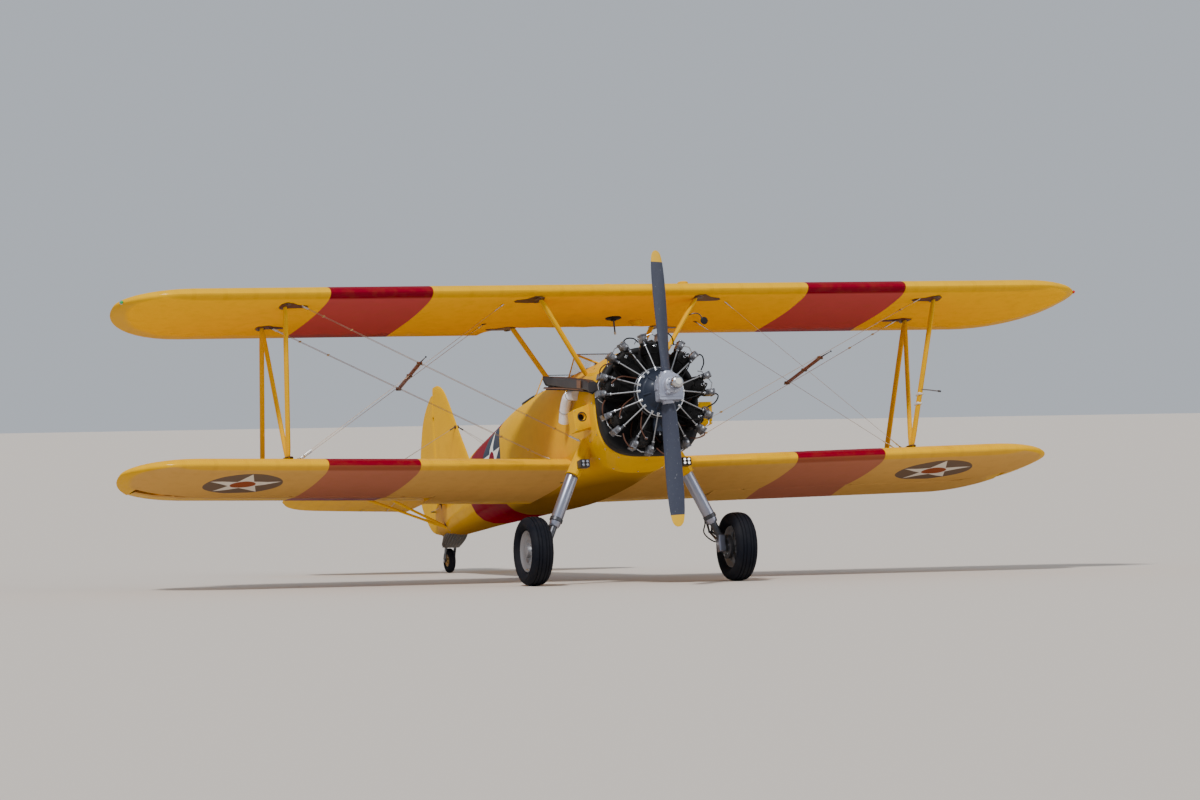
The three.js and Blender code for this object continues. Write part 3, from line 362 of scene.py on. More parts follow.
def wing_marks_and_shade(finish, paint, x, y, z):
    """Bands on both wings and stars on top and beneath. The upper wing's underside gets a painted glow for
    the light of the pale ground, and the lower wing's underside gets painted shade, tinted dusty tan.
    """
    out, top, low = abs(x), UPPER_UNDERSIDE, LOWER_UNDERSIDE
    upper = z.above(BETWEEN_WINGS)
    below_upper = (top.z - (y - top.y) * top.slope - z).above(0.004, 0.01) * upper
    below_lower = (low.z + out * low.rise - (y - low.y) * low.slope - z).above(0.004, 0.01) * (1.0 - upper)
    back_upper, back_lower = y.above(top.start, 0.03), y.above(low.start, 0.03)
    # lit is the painted glow under the upper wing, and below is the painted shade under the lower wing.
    lit, below = below_upper * back_upper * 0.85, below_lower * back_lower * 0.8
    paint = finish.mix(lit, finish.mix(below, paint, SHADE_YELLOW), LIT_YELLOW)
    band = out.between(*UPPER_BAND) * upper + out.between(*LOWER_BAND) * (1.0 - upper)
    red = finish.mix(lit, finish.mix(below, RED, SHADE_RED), LIT_RED)
    paint = finish.mix(band, paint, red)
    across = out - WING_STAR_X
    paint = paint_star(finish, paint, across, y - UNDER_STAR.y, UNDER_STAR.radius, UNDER_STAR.middle,
                       below_lower)
    # More painted shade, tinted dusty tan, over the lower wing's underside and its star.
    paint = finish.mix(below_lower * 0.22, paint, SHADE_YELLOW)
    paint = paint_star(finish, paint, across, y - TOP_STAR.y, TOP_STAR.radius, TOP_STAR.middle,
                       upper * (1.0 - below_upper))
    return paint, 1.0 - below_upper * back_upper - below_lower * back_lower


def body_marks_and_shade(finish, paint, x, y, z):
    """A belly painted dark brown as painted shade with oil and dust stain, a red band round the body and a
    star on each side.
    """
    belly = 1.0 - (z - (y - BELLY.y) * BELLY.rise).above(BELLY.z, 0.12)
    # Painted shade with oil and dust stain darkens the underside of the body.
    paint = finish.mix(belly * 0.85, paint, BELLY_SHADE_AND_STAIN)
    paint = finish.mix(y.between(*BODY_BAND), paint, RED)
    return paint_star(finish, paint, y - STAR_Y, (z - STAR_Z) * -1.0, 0.36, 0.12), 1.0 - belly


WING_PAINT = airframe_paint("yellow_wing", wing_marks_and_shade, RIB_PITCH)
BODY_PAINT = airframe_paint("yellow_body", body_marks_and_shade)
TAIL_PAINT = airframe_paint("yellow_tail", tapes=0.26)
METAL_PAINT = airframe_paint("yellow_metal")
print("paints:", [m.name for m in (WING_PAINT, BODY_PAINT, TAIL_PAINT, METAL_PAINT)])

# %% [markdown]
# ## Plainer finishes
#
# Metal, rubber, leather, wood and cast parts share one recipe: two colours mixed by a noise at the
# scale of that material's own grain, a roughness that wanders a little, and a low bump. A table holds
# what differs, because so many finishes are easier to compare in rows.

# %% Table of finishes
PLAIN = [
    # name, two colours, grain scale, low and high roughness, metal, bump in metres, coat
    ("black_iron", (0.016, 0.017, 0.02), (0.05, 0.047, 0.045), 40, 0.32, 0.62, 0.55, 0.0004, 0),
    ("fin_black", (0.01, 0.01, 0.012), (0.04, 0.038, 0.036), 60, 0.35, 0.6, 0.4, 0.0003, 0),
    ("case_blue", (0.012, 0.017, 0.03), (0.024, 0.03, 0.048), 18, 0.4, 0.58, 0.1, 0.0004, 0.05),
    ("bright_steel", (0.6, 0.61, 0.64), (0.44, 0.45, 0.47), 30, 0.16, 0.34, 1.0, 0.0001, 0),
    ("rocker_grey", (0.22, 0.22, 0.235), (0.11, 0.11, 0.125), 50, 0.26, 0.48, 0.65, 0.0004, 0.2),
    ("cast_alloy", (0.36, 0.36, 0.37), (0.22, 0.22, 0.23), 55, 0.34, 0.58, 0.85, 0.0004, 0),
    ("hub_grey", (0.4, 0.42, 0.51), (0.31, 0.33, 0.41), 25, 0.28, 0.42, 0.45, 0.0002, 0.15),
    ("soot", (0.008, 0.009, 0.011), (0.03, 0.028, 0.028), 14, 0.45, 0.75, 0.3, 0.0006, 0),
    ("duct_grey", (0.03, 0.028, 0.032), (0.06, 0.052, 0.052), 12, 0.4, 0.56, 0.2, 0.0003, 0),
    ("heat_brown", (0.3, 0.13, 0.05), (0.16, 0.09, 0.06), 22, 0.35, 0.6, 0.6, 0.0004, 0),
    ("pipe_white", (0.86, 0.86, 0.9), (0.7, 0.7, 0.74), 9, 0.2, 0.42, 0.15, 0.0003, 0.3),
    ("leg_silver", (0.34, 0.35, 0.43), (0.26, 0.27, 0.34), 10, 0.22, 0.36, 0.8, 0.0002, 0.3),
    ("rim_silver", (0.27, 0.27, 0.29), (0.2, 0.195, 0.2), 16, 0.38, 0.6, 0.55, 0.0004, 0),
    ("dark_steel", (0.05, 0.052, 0.06), (0.1, 0.1, 0.11), 35, 0.3, 0.52, 0.8, 0.0003, 0),
    ("wire_steel", (0.5, 0.38, 0.26), (0.36, 0.28, 0.2), 40, 0.28, 0.44, 0.85, 0.0001, 0),
    ("brass_fitting", (0.5, 0.33, 0.12), (0.36, 0.23, 0.09), 40, 0.28, 0.46, 0.9, 0.0002, 0),
    ("lead_orange", (0.12, 0.05, 0.03), (0.06, 0.03, 0.022), 45, 0.45, 0.65, 0.0, 0.0003, 0),
    ("plate_brown", (0.15, 0.05, 0.024), (0.085, 0.034, 0.02), 24, 0.5, 0.68, 0.0, 0.0004, 0),
    ("brown_wood", (0.22, 0.06, 0.024), (0.12, 0.034, 0.016), 24, 0.3, 0.48, 0.0, 0.0004, 0.35),
    ("bolt_brown", (0.17, 0.085, 0.03), (0.085, 0.05, 0.03), 40, 0.4, 0.62, 0.4, 0.0003, 0),
    ("black_rubber", (0.008, 0.008, 0.01), (0.02, 0.019, 0.018), 20, 0.62, 0.85, 0.0, 0.0005, 0),
    ("black_leather", (0.018, 0.015, 0.013), (0.04, 0.03, 0.024), 90, 0.42, 0.66, 0.0, 0.0008, 0.1),
    ("panel_black", (0.012, 0.012, 0.013), (0.02, 0.02, 0.021), 120, 0.55, 0.75, 0.0, 0.0002, 0),
    ("dial_white", (0.62, 0.61, 0.56), (0.52, 0.51, 0.46), 50, 0.4, 0.55, 0.0, 0.0001, 0.2),
    ("cabin_green", (0.1, 0.13, 0.055), (0.075, 0.1, 0.045), 15, 0.45, 0.65, 0.0, 0.0003, 0),
    ("lamp_red", (0.6, 0.012, 0.01), (0.45, 0.01, 0.01), 20, 0.1, 0.2, 0.0, 0.0001, 0.6),
    ("lamp_green", (0.01, 0.42, 0.1), (0.01, 0.32, 0.08), 20, 0.1, 0.2, 0.0, 0.0001, 0.6),
    ("mirror_glass", (0.85, 0.87, 0.9), (0.8, 0.82, 0.85), 4, 0.03, 0.06, 1.0, 0.00005, 0),
]


def plain_finish(name, first, second, grain, smooth, rough, metal, height, coat):
    """One row of the table as a material."""
    finish = Finish(name, Metallic=metal, Coat_Weight=coat, Coat_Roughness=0.15,
                    Specular_IOR_Level=0.1 + 0.4 * metal)
    grains = finish.noise(grain, detail=6.0)
    patches = finish.noise(grain * 0.13, detail=4.0)
    paint = finish.mix((grains + patches) * 0.5, colour(*first), colour(*second))
    roughness = patches * (rough - smooth) + smooth
    finish.show(Base_Color=paint, Roughness=roughness, Normal=finish.bump(grains, height))
    return finish.material


LOOK = {row[0]: plain_finish(*row) for row in PLAIN}
LOOK.update(wing=WING_PAINT, body=BODY_PAINT, tail=TAIL_PAINT, metal=METAL_PAINT)
print("plain finishes:", len(PLAIN))

# %% [markdown]
# ## Finishes with a pattern of their own
#
# Some need more than a grain. Seat canvas and the tail boot are woven, so two crossed waves lift the
# threads. A blade is grey with a yellow tip that warns people near it. A tyre has ground dust on its
# tread. Glass is clear, so most of it is see-through and the rest is gloss. Of the two lenses, one is lit.

# %% Woven, banded, dusty and clear finishes
WEAVE = 900.0
BLADE_TIP = 1.215


def woven(name, first, second, threads=WEAVE):
    finish = Finish(name, Sheen_Weight=0.25)
    x, y, z = finish.flight_place()
    warp = (x * threads).math("SINE")
    weft = ((y + z) * threads).math("SINE")
    stains = finish.noise(11.0, detail=7.0)
    paint = finish.mix(stains, colour(*first), colour(*second))
    paint = finish.mix((warp * weft * 0.5 + 0.5) * 0.25, paint, colour(*(v * 0.5 for v in first)))
    finish.show(Base_Color=paint, Roughness=stains * 0.2 + 0.72, Normal=finish.bump(warp * weft, 0.0003))
    return finish.material


def blade_paint():
    finish = Finish("blade_grey", Metallic=0.15, Coat_Weight=0.05, Coat_Roughness=0.25,
                    Specular_IOR_Level=0.3)
    z = finish.flight_place()[2]
    grains = finish.noise(28.0, detail=5.0)
    paint = finish.mix(grains, colour(0.042, 0.048, 0.075), colour(0.032, 0.037, 0.058))
    nicks = finish.noise(140.0, detail=4.0, stretch=(1, 1, 0.3)).above(0.7, 0.05)
    paint = finish.mix(nicks * 0.5, paint, colour(0.42, 0.43, 0.45))
    paint = finish.mix(abs(z).above(BLADE_TIP), paint, colour(0.66, 0.38, 0.012))
    finish.show(Base_Color=paint, Roughness=grains * 0.15 + 0.36, Normal=finish.bump(grains, 0.0002))
    return finish.material


def tyre_rubber():
    finish = Finish("tyre_rubber", Specular_IOR_Level=0.06)
    grains = finish.noise(34.0, detail=8.0)
    dust = finish.noise(5.0, detail=6.0).above(0.52, 0.3)
    paint = finish.mix(grains, colour(0.004, 0.005, 0.009), colour(0.01, 0.011, 0.016))
    paint = finish.mix(dust * 0.08, paint, colour(0.1, 0.09, 0.08))
    finish.show(Base_Color=paint, Roughness=grains * 0.25 + 0.55, Normal=finish.bump(grains, 0.0006))
    return finish.material


def clear_glass():
    finish = Finish("clear_glass", Coat_Weight=0.6, Coat_Roughness=0.03, IOR=1.45)
    smears = finish.noise(6.0, detail=6.0)
    paint = finish.mix(smears, colour(0.8, 0.88, 0.95), colour(0.7, 0.78, 0.86))
    finish.show(Base_Color=paint, Roughness=smears * 0.06 + 0.03, Alpha=smears * 0.12 + 0.2)
    return finish.material


def bright_lens():
    finish = Finish("bright_lens", Emission_Strength=1.6, Coat_Weight=0.5)
    glow = finish.mix(finish.noise(40.0), colour(1.0, 1.0, 1.0), colour(0.85, 0.9, 1.0))
    finish.show(Base_Color=glow, Emission_Color=glow, Roughness=0.15)
    return finish.material


def dull_lens():
    finish = Finish("dull_lens", Coat_Weight=0.8, Coat_Roughness=0.05)
    paint = finish.mix(finish.noise(60.0), colour(0.16, 0.2, 0.3), colour(0.42, 0.46, 0.52))
    finish.show(Base_Color=paint, Roughness=finish.noise(30.0) * 0.1 + 0.12)
    return finish.material


LOOK.update(
    boot_canvas=woven("boot_canvas", (0.062, 0.054, 0.046), (0.032, 0.029, 0.027)),
    seat_canvas=woven("seat_canvas", (0.11, 0.085, 0.05), (0.07, 0.055, 0.035)),
    belt_webbing=woven("belt_webbing", (0.26, 0.22, 0.14), (0.2, 0.17, 0.11), 1500.0),
    blade=blade_paint(), tyre=tyre_rubber(), glass=clear_glass(), lens=bright_lens(),
    lens_off=dull_lens(),
)
print("finishes in all:", len(LOOK))

# %% [markdown]
# ## A small workshop
#
# Most of an aircraft is made of skins over ribs, tubes, turned parts and pressed sheet. One class
# collects the faces of a piece and knows these ways of making them: a skin through rings, a bent tube, a
# turned part, cut sheet, and a block. It works in the flight frame, gives each face a finish, and at the
# end becomes one mesh that rides on its body.

# %% The Piece class
def circle(sides):
    """Cosine and sine of evenly spaced turns."""
    return [(cos(2 * pi * i / sides), sin(2 * pi * i / sides)) for i in range(sides)]


def towards(start, end):
    """A matrix whose Z axis runs from start to end, with its origin at start."""
    start, end = Vector(start), Vector(end)
    return Matrix.Translation(start) @ (end - start).to_track_quat("Z", "Y").to_matrix().to_4x4()


def tidy_mesh(mesh, welded):
    """Turns every face outward and, where asked, joins corners that lie on each other."""
    work = bmesh.new()
    work.from_mesh(mesh)
    if welded:
        bmesh.ops.remove_doubles(work, verts=work.verts, dist=1e-5)
    bmesh.ops.recalc_face_normals(work, faces=work.faces)
    work.to_mesh(mesh)
    work.free()


class Piece:
    """The faces of one named piece, with their finishes, on the body that carries it."""

    def __init__(self, name, body="airframe"):
        self.name = name
        self.body = body
        self.points = []
        self.faces = []
        self.finishes = []
        self.place = Matrix.Identity(4)

    def add(self, points, faces, finish):
        """Takes in points, set in place, and the faces between them."""
        start = len(self.points)
        self.points += [self.place @ Vector(p) for p in points]
        self.faces += [[start + i for i in face] for face in faces]
        self.finishes += [finish] * len(faces)

    def loft(self, rings, finish, caps=True, closed=True):
        """A skin through rings of equal length, with its ends closed."""
        count = len(rings[0])
        faces = []
        for ring in range(len(rings) - 1):
            for i in range(count if closed else count - 1):
                low, high, after = ring * count, (ring + 1) * count, (i + 1) % count
                faces.append((low + i, low + after, high + after, high + i))
        if caps:
            faces.append(tuple(reversed(range(count))))
            faces.append(tuple(range((len(rings) - 1) * count, len(rings) * count)))
        self.add([p for ring in rings for p in ring], faces, finish)

    def tube(self, path, radius, finish, sides=12, caps=True, flat=1.0):
        """A round or flattened bar along a path. radius is one number, or one for each point."""
        path = [Vector(p) for p in path]
        radii = radius if isinstance(radius, (list, tuple)) else [radius] * len(path)
        ahead = [(path[min(i + 1, len(path) - 1)] - path[max(i - 1, 0)]).normalized()
                 for i in range(len(path))]
        side = ahead[0].orthogonal().normalized()
        rings = []
        for point, direction, size in zip(path, ahead, radii):
            side = (side - direction * side.dot(direction)).normalized()
            other = direction.cross(side)
            rings.append([point + side * (size * c) + other * (size * flat * s) for c, s in circle(sides)])
        self.loft(rings, finish, caps)

    def turned(self, profile, finish, start=(0, 0, 0), end=(0, 0, 1), sides=32):
        """A lathe-turned part: pairs of radius and distance along the line from start to end."""
        frame_of = towards(start, end)
        rings = [[frame_of @ Vector((r * c, r * s, h)) for c, s in circle(sides)] for r, h in profile]
        self.loft(rings, finish, caps=profile[0] != profile[-1])

    def bolt(self, start, end, radius, tall, crown=0.001, finish="bright_steel", sides=6):
        """A bolt head that stands on start and points at end."""
        self.turned([(radius, 0), (radius, tall), (0, tall + crown)], finish, start, end, sides)

    def disc(self, start, end, radius, low, high, finish, sides):
        """A round plate that fills a hole or a frame."""
        self.turned([(0, low), (radius, low), (radius, high), (0, high)], finish, start, end, sides)

    def hoop(self, path, radius, finish, sides=8):
        """A bar that closes on itself."""
        self.tube(path + path[:2], radius, finish, sides, caps=False)

    def plate(self, outline, start, end, finish):
        """Sheet cut to an outline and given thickness between two shifts of it."""
        rings = [[Vector(p) + Vector(shift) for p in outline] for shift in (start, end)]
        self.loft(rings, finish)

    def block(self, centre, size, finish, turn=None, chamfer=0.12):
        """A box with its long edges cut back, as on a machined part."""
        x, y, z = (value / 2 for value in size)
        cut = chamfer * min(x, y)
        outline = [(x - cut, -y), (x, cut - y), (x, y - cut), (x - cut, y), (cut - x, y), (-x, y - cut),
                   (-x, cut - y), (cut - x, -y)]
        inner = 1 - cut / max(x, y)
        levels = [(-z, inner), (cut - z, 1.0), (z - cut, 1.0), (z, inner)]
        matrix = Matrix.Translation(centre) @ (turn.to_4x4() if turn else Matrix.Identity(4))
        self.loft([[matrix @ Vector((a * s, b * s, h)) for a, b in outline] for h, s in levels], finish)

    def build(self, slot, replaces=(), smooth=38.0, bevel=0.0, welded=False):
        """Makes the mesh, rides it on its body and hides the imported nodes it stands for."""
        mesh = bpy.data.meshes.new(self.name)
        mesh.from_pydata([tuple(FLIGHT @ p) for p in self.points], [], self.faces)
        names = sorted(set(self.finishes))
        for name in names:
            mesh.materials.append(LOOK[name])
        mesh.polygons.foreach_set("material_index", [names.index(name) for name in self.finishes])
        tidy_mesh(mesh, welded)
        mesh.shade_smooth()
        mesh.set_sharp_from_angle(angle=radians(smooth))
        piece = bpy.data.objects.new(self.name, mesh)
        bpy.context.scene.collection.objects.link(piece)
        if bevel:
            edge = piece.modifiers.new("edges", "BEVEL")
            edge.width = bevel
            edge.segments = 2
            edge.limit_method = "ANGLE"
            edge.harden_normals = True
        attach(piece, self.body)
        if replaces:
            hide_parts(*replaces)
        print(f"{self.name}: {len(mesh.polygons)} faces")
        return piece


def bent(points, steps=6):
    """A smooth path through a few points."""
    points = [Vector(p) for p in points]
    ends = [points[0] * 2 - points[1]] + points + [points[-1] * 2 - points[-2]]
    path = []
    for i in range(1, len(ends) - 2):
        a, b, c, d = ends[i - 1:i + 3]
        for k in range(steps):
            t = k / steps
            path.append(0.5 * (2 * b + (c - a) * t + (2 * a - 5 * b + 4 * c - d) * t ** 2
                               + (3 * b - a - 3 * c + d) * t ** 3))
    return path + [points[-1]]

# %% [markdown]
# ## Wings
#
# A fabric wing is a row of ribs on two spars, with sheet metal wrapped round the front and cloth
# stretched over the rest. Between ribs the shrunk cloth pulls in by a few millimetres, which is what
# makes such a wing look covered and not moulded. It could be a smooth loft with a bump map, but the
# scallops show in the outline and in the gloss, so they are modelled: stations every few centimetres,
# and a dip that is deepest half way between two ribs.

# %% Wing shape
CHORD = 1.524
WING_THICKNESS = 0.13
CAMBER = 0.02
CAMBER_PEAK = 0.3
TIP_LEAD_RUN = 0.7
TIP_TRAIL_RUN = 0.9
UPPER, LOWER = table("half_span lead z incidence dihedral tip rise",
                     (4.902, 0.965, 1.16, 4.6, 0.0, 1.53, 0.05),
                     (4.749, 1.66, -0.416, 3.8, 1.1, 2.231, 0.04))
CLOTH_DIP = 0.0045
STEPS_PER_BAY = 6
TIP_STATIONS = (0, 8, 16, 24, 31, 38, 45, 52, 58, 64, 70, 75, 79, 82, 85, 87.5)
SHARES = [(1 - cos(pi * k / 22)) / 2 for k in range(23)]


def camber_line(share):
    """How far the middle of the section lies above its chord, as a share of the chord."""
    peak = CAMBER_PEAK
    if share < peak:
        return CAMBER / peak ** 2 * (2 * peak * share - share ** 2)
    return CAMBER / (1 - peak) ** 2 * (1 - 2 * peak + 2 * peak * share - share ** 2)


def half_thickness(share):
    """Half the section's thickness, as a share of the chord."""
    root = 0.2969 * sqrt(max(share, 0)) - 0.126 * share - 0.3516 * share ** 2 + 0.2843 * share ** 3
    return 5 * WING_THICKNESS * (root - 0.1015 * share ** 4)


def wing_point(wing, x, share, side):
    """A point on the top (side 1) or underside (side -1) of a wing, share of the chord back."""
    out = abs(x)
    inboard = wing.half_span - out

    def rounded(run):
        return sqrt(max(0, 1 - min(max((run - inboard) / run, 0), 1) ** 2))

    fore = (wing.tip - wing.lead) * rounded(TIP_LEAD_RUN)
    aft = (wing.lead + CHORD - wing.tip) * rounded(TIP_TRAIL_RUN)
    rise = wing.rise * (1 - rounded(TIP_TRAIL_RUN))
    height = wing.z + out * tan(radians(wing.dihedral)) + rise
    y = wing.tip - fore + share * (fore + aft)
    bay = abs(sin(pi * out / RIB_PITCH))
    cloth = min(max((share - 0.1) / 0.06, 0), 1) * min(max((0.97 - share) / 0.06, 0), 1)
    dip = CLOTH_DIP * bay * cloth * min(1.0, inboard / TIP_LEAD_RUN)
    up = (camber_line(share) + side * half_thickness(share)) * (fore + aft) - side * dip
    slope = tan(radians(wing.incidence))
    return Vector((x, y, height - (y - wing.lead) * slope + up))


def on_wing(wing, x, y, side):
    """The point of a wing's top (side 1) or underside (side -1) over x and y."""
    return wing_point(wing, x, (y - wing.lead) / CHORD, side)


def wing_ring(wing, x, back=1.0):
    """One section, from its rear edge over the top to the nose and back underneath."""
    top = [wing_point(wing, x, share * back, 1) for share in reversed(SHARES)]
    under = [wing_point(wing, x, share * back, -1) for share in SHARES[1:]]
    if back < 1:
        for edge in (top[0], under[-1]):
            edge.z += (0.5 * (top[0].z + under[-1].z) - edge.z) * 0.5
    return top + under


def stations(start, end):
    """Places along the span, dense enough for the dips between ribs."""
    count = max(2, round((end - start) / RIB_PITCH * STEPS_PER_BAY))
    return [start + (end - start) * k / count for k in range(count + 1)]


def tip_stations(wing):
    """Places along the rounded tip, closer together as it turns in."""
    return [wing.half_span - TIP_TRAIL_RUN * (1 - sin(radians(d))) for d in TIP_STATIONS]


for wing in (UPPER, LOWER):
    root_rear = wing_point(wing, 1.2, 1.0, 1)
    print("rear edge", [round(v, 3) for v in root_rear])

# %% [markdown]
# ### The upper wing
#
# It has three pieces. The centre section sits on the four short struts over the nose, and its rear
# edge is cut away so that the pilots can climb in. The cut is a change in how far back each section
# reaches, so one function of x draws the whole curve. Two filler caps stand on top. The gauge of the fuel
# tank and a small bowl hang below, and each outer wing has a lamp near its tip.

# %% Upper wing
CUT_INNER, CUT_OUTER, CUT_Y = 0.7, 0.98, 2.15
CENTRE_HALF = 1.0
FILLER_CAPS = ((-0.04, 1.3), (0.7, 1.18))
FILLER_CAP = [(0.05, -0.01), (0.052, 0.012), (0.044, 0.02), (0.02, 0.024), (0, 0.026)]
GAUGE = SimpleNamespace(x=0.173, y=1.751, radius=0.078, rod=(0.208, 1.832, 0.919))
BOWL = SimpleNamespace(x=0.452, y=1.897, radius=0.06)
TIP_LAMP_X = 4.872
TIP_LAMP_BASE = [(0.012, -0.02), (0.018, -0.006), (0.02, 0.01), (0.017, 0.013), (0, 0.013)]
TIP_LAMP_GLASS = [(0.014, 0.01), (0.014, 0.026), (0.01, 0.036), (0, 0.04)]


def centre_reach(x):
    """How much of the chord is left at x in the centre section."""
    share = min(max((abs(x) - CUT_INNER) / (CUT_OUTER - CUT_INNER), 0), 1)
    blend = 1 - sqrt(1 - share ** 2)
    return (CUT_Y + (UPPER.lead + CHORD - CUT_Y) * blend - UPPER.lead) / CHORD


centre = Piece("wing_centre_section")
xs = [-v for v in reversed(stations(0, CUT_INNER))] + stations(0, CUT_INNER)[1:]
curve = [CUT_INNER + (CUT_OUTER - CUT_INNER) * sin(radians(a)) for a in range(10, 91, 8)]
xs = [-CENTRE_HALF] + [-v for v in reversed(curve)] + xs + curve + [CENTRE_HALF]
centre.loft([wing_ring(UPPER, x, centre_reach(x)) for x in xs], "wing")
for x, y in FILLER_CAPS:
    top = on_wing(UPPER, x, y, 1)
    centre.turned(FILLER_CAP, "metal", top, top + UP, 24)
under, wide = on_wing(UPPER, GAUGE.x, GAUGE.y, -1), GAUGE.radius
centre.turned([(0, -0.004), (wide, -0.004), (wide, 0.008), (wide - 0.012, 0.014), (0.03, 0.014),
               (0.024, 0.03), (0, 0.03)], "panel_black", under, under - UP, 32)
rod_end = Vector(GAUGE.rod)
centre.tube([under - Vector((0, 0, 0.02)), rod_end], 0.008, "dark_steel", 12)
centre.turned([(0.009, -0.004), (0.011, 0), (0.011, 0.024), (0, 0.028)], "dial_white", rod_end,
              rod_end * 2 - under, 14)
under, wide = on_wing(UPPER, BOWL.x, BOWL.y, -1), BOWL.radius
centre.turned([(wide + 0.01, -0.002), (wide + 0.01, 0.004), (wide, 0.006), (0.05, 0.03), (0.03, 0.044),
               (0, 0.048)], "metal", under, under - UP, 28)
centre.build("yellow_fabric", ["upper_wing_center"])

for side, hand in SIDES:
    wing = Piece(f"upper_wing_skin_{hand}")
    xs = stations(CENTRE_HALF + 0.0003, UPPER.half_span - TIP_TRAIL_RUN)[:-1] + tip_stations(UPPER)
    wing.loft([wing_ring(UPPER, side * x) for x in xs], "wing")
    edge = wing_point(UPPER, side * TIP_LAMP_X, 0, 1)
    wing.turned(TIP_LAMP_BASE, "bright_steel", edge, edge - AFT, 20)
    wing.turned(TIP_LAMP_GLASS, "lamp_red" if side > 0 else "lamp_green", edge, edge - AFT, 20)
    wing.build("yellow_fabric", [f"upper_wing_{hand}"])

# %% [markdown]
# ### The lower wing and its aileron
#
# Only the lower wing has ailerons. The wing's rear edge steps forward at the aileron's bay, so two
# sections share one x there, a full one and a short one, and the loft between them is the bay's end
# wall. The aileron is a loft of its own, round at the hinge so that the slot stays even as it swings,
# and it hangs a little low on one side and high on the other, as in the picture.

# %% Lower wing and ailerons
AILERON = SimpleNamespace(inner=1.45, outer=4.5, hinge=2.78, nose_inner=0.034, nose_outer=0.016, rest=5.0)
SLOT = 0.006
LOWER_ROOT = 0.33
HINGES = (1.76, 2.9, 4.08)
BAY_REACH = (AILERON.hinge - AILERON.nose_inner - SLOT - LOWER.lead) / CHORD


def hinge_height(x):
    """The height of the aileron's hinge at x, on the middle of the wing's section."""
    share = (AILERON.hinge - LOWER.lead) / CHORD
    rise = x * tan(radians(LOWER.dihedral))
    fall = (AILERON.hinge - LOWER.lead) * tan(radians(LOWER.incidence))
    return LOWER.z + rise - fall + CHORD * camber_line(share)


def aileron_ring(x, side):
    """A round nose about the hinge, then the wing's own top and underside to the rear edge."""
    share = (AILERON.hinge - LOWER.lead) / CHORD
    shares = [share + (1 - share) * k / 8 for k in range(9)]
    top = [wing_point(LOWER, x, s, 1) for s in reversed(shares)]
    under = [wing_point(LOWER, x, s, -1) for s in shares]
    along = (x - AILERON.inner) / (AILERON.outer - AILERON.inner)
    nose = AILERON.nose_inner + (AILERON.nose_outer - AILERON.nose_inner) * along
    middle, half = (top[-1].z + under[0].z) / 2, (top[-1].z - under[0].z) / 2
    arc = [Vector((x, AILERON.hinge - nose * sin(a), middle + half * cos(a)))
           for a in (pi * k / 10 for k in range(1, 10))]
    return [Vector((side * p.x, p.y, p.z)) for p in top + arc + under]


for side, hand in SIDES:
    wing = Piece(f"lower_wing_skin_{hand}")
    inner, outer = AILERON.inner - SLOT, AILERON.outer + SLOT
    rings = [wing_ring(LOWER, side * x) for x in stations(LOWER_ROOT, inner)]
    tips = tip_stations(LOWER)
    rings += [wing_ring(LOWER, side * x, BAY_REACH) for x in stations(inner, tips[0])[:-1]]
    rings += [wing_ring(LOWER, side * x, BAY_REACH) for x in tips if x < outer]
    rings += [wing_ring(LOWER, side * outer, BAY_REACH), wing_ring(LOWER, side * outer)]
    rings += [wing_ring(LOWER, side * x) for x in tips if x > outer + 0.005]
    wing.loft(rings, "wing")
    for x in HINGES:
        pin = Vector((side * x, AILERON.hinge, hinge_height(x)))
        wing.tube([pin - Vector((0.02, 0, 0)), pin + Vector((0.02, 0, 0))], 0.0088, "dark_steel")
        wing.block(pin + Vector((0, -0.036, 0)), (0.0096, 0.062, 0.012), "dark_steel")
    wing.build("yellow_fabric", [f"lower_wing_{hand}"])

    flap = Piece(f"aileron_skin_{hand}", f"aileron_{hand}")
    middle = (AILERON.inner + AILERON.outer) / 2
    pivot = Vector((side * middle, AILERON.hinge, hinge_height(middle)))
    lean = radians(LOWER.dihedral)
    line = Vector((cos(lean), 0, side * sin(lean)))
    turn = Matrix.Rotation(radians(-AILERON.rest * side), 4, line)
    flap.place = Matrix.Translation(pivot) @ turn @ Matrix.Translation(-pivot)
    edges = [AILERON.inner]
    for x in HINGES:
        edges += [x - 0.0203, x + 0.0203]
    edges.append(AILERON.outer)
    for start, end in zip(edges[0::2], edges[1::2]):
        flap.loft([aileron_ring(x, side) for x in stations(start, end)], "wing")
    for x in HINGES:
        rings = []
        for at in (x - 0.0203, x + 0.0203):
            ring = aileron_ring(at, side)
            rings.append([Vector((p.x, max(p.y, AILERON.hinge + 0.013), p.z)) for p in ring])
        flap.loft(rings, "wing")
    flap.build("yellow_fabric", [f"aileron_{hand}"], welded=True)

# %% [markdown]
# ## The fuselage
#
# Steel tube inside, cloth and light stringers outside, and metal panels round the front. Seen from
# outside it is one long skin whose section changes slowly, nearly round at the engine and flatter-sided
# at the cockpits. A short table of sections drives it, and a smooth curve between the rows fills in the
# rest. Aft of the cockpits the cloth dips between the stringers as it does between wing ribs.

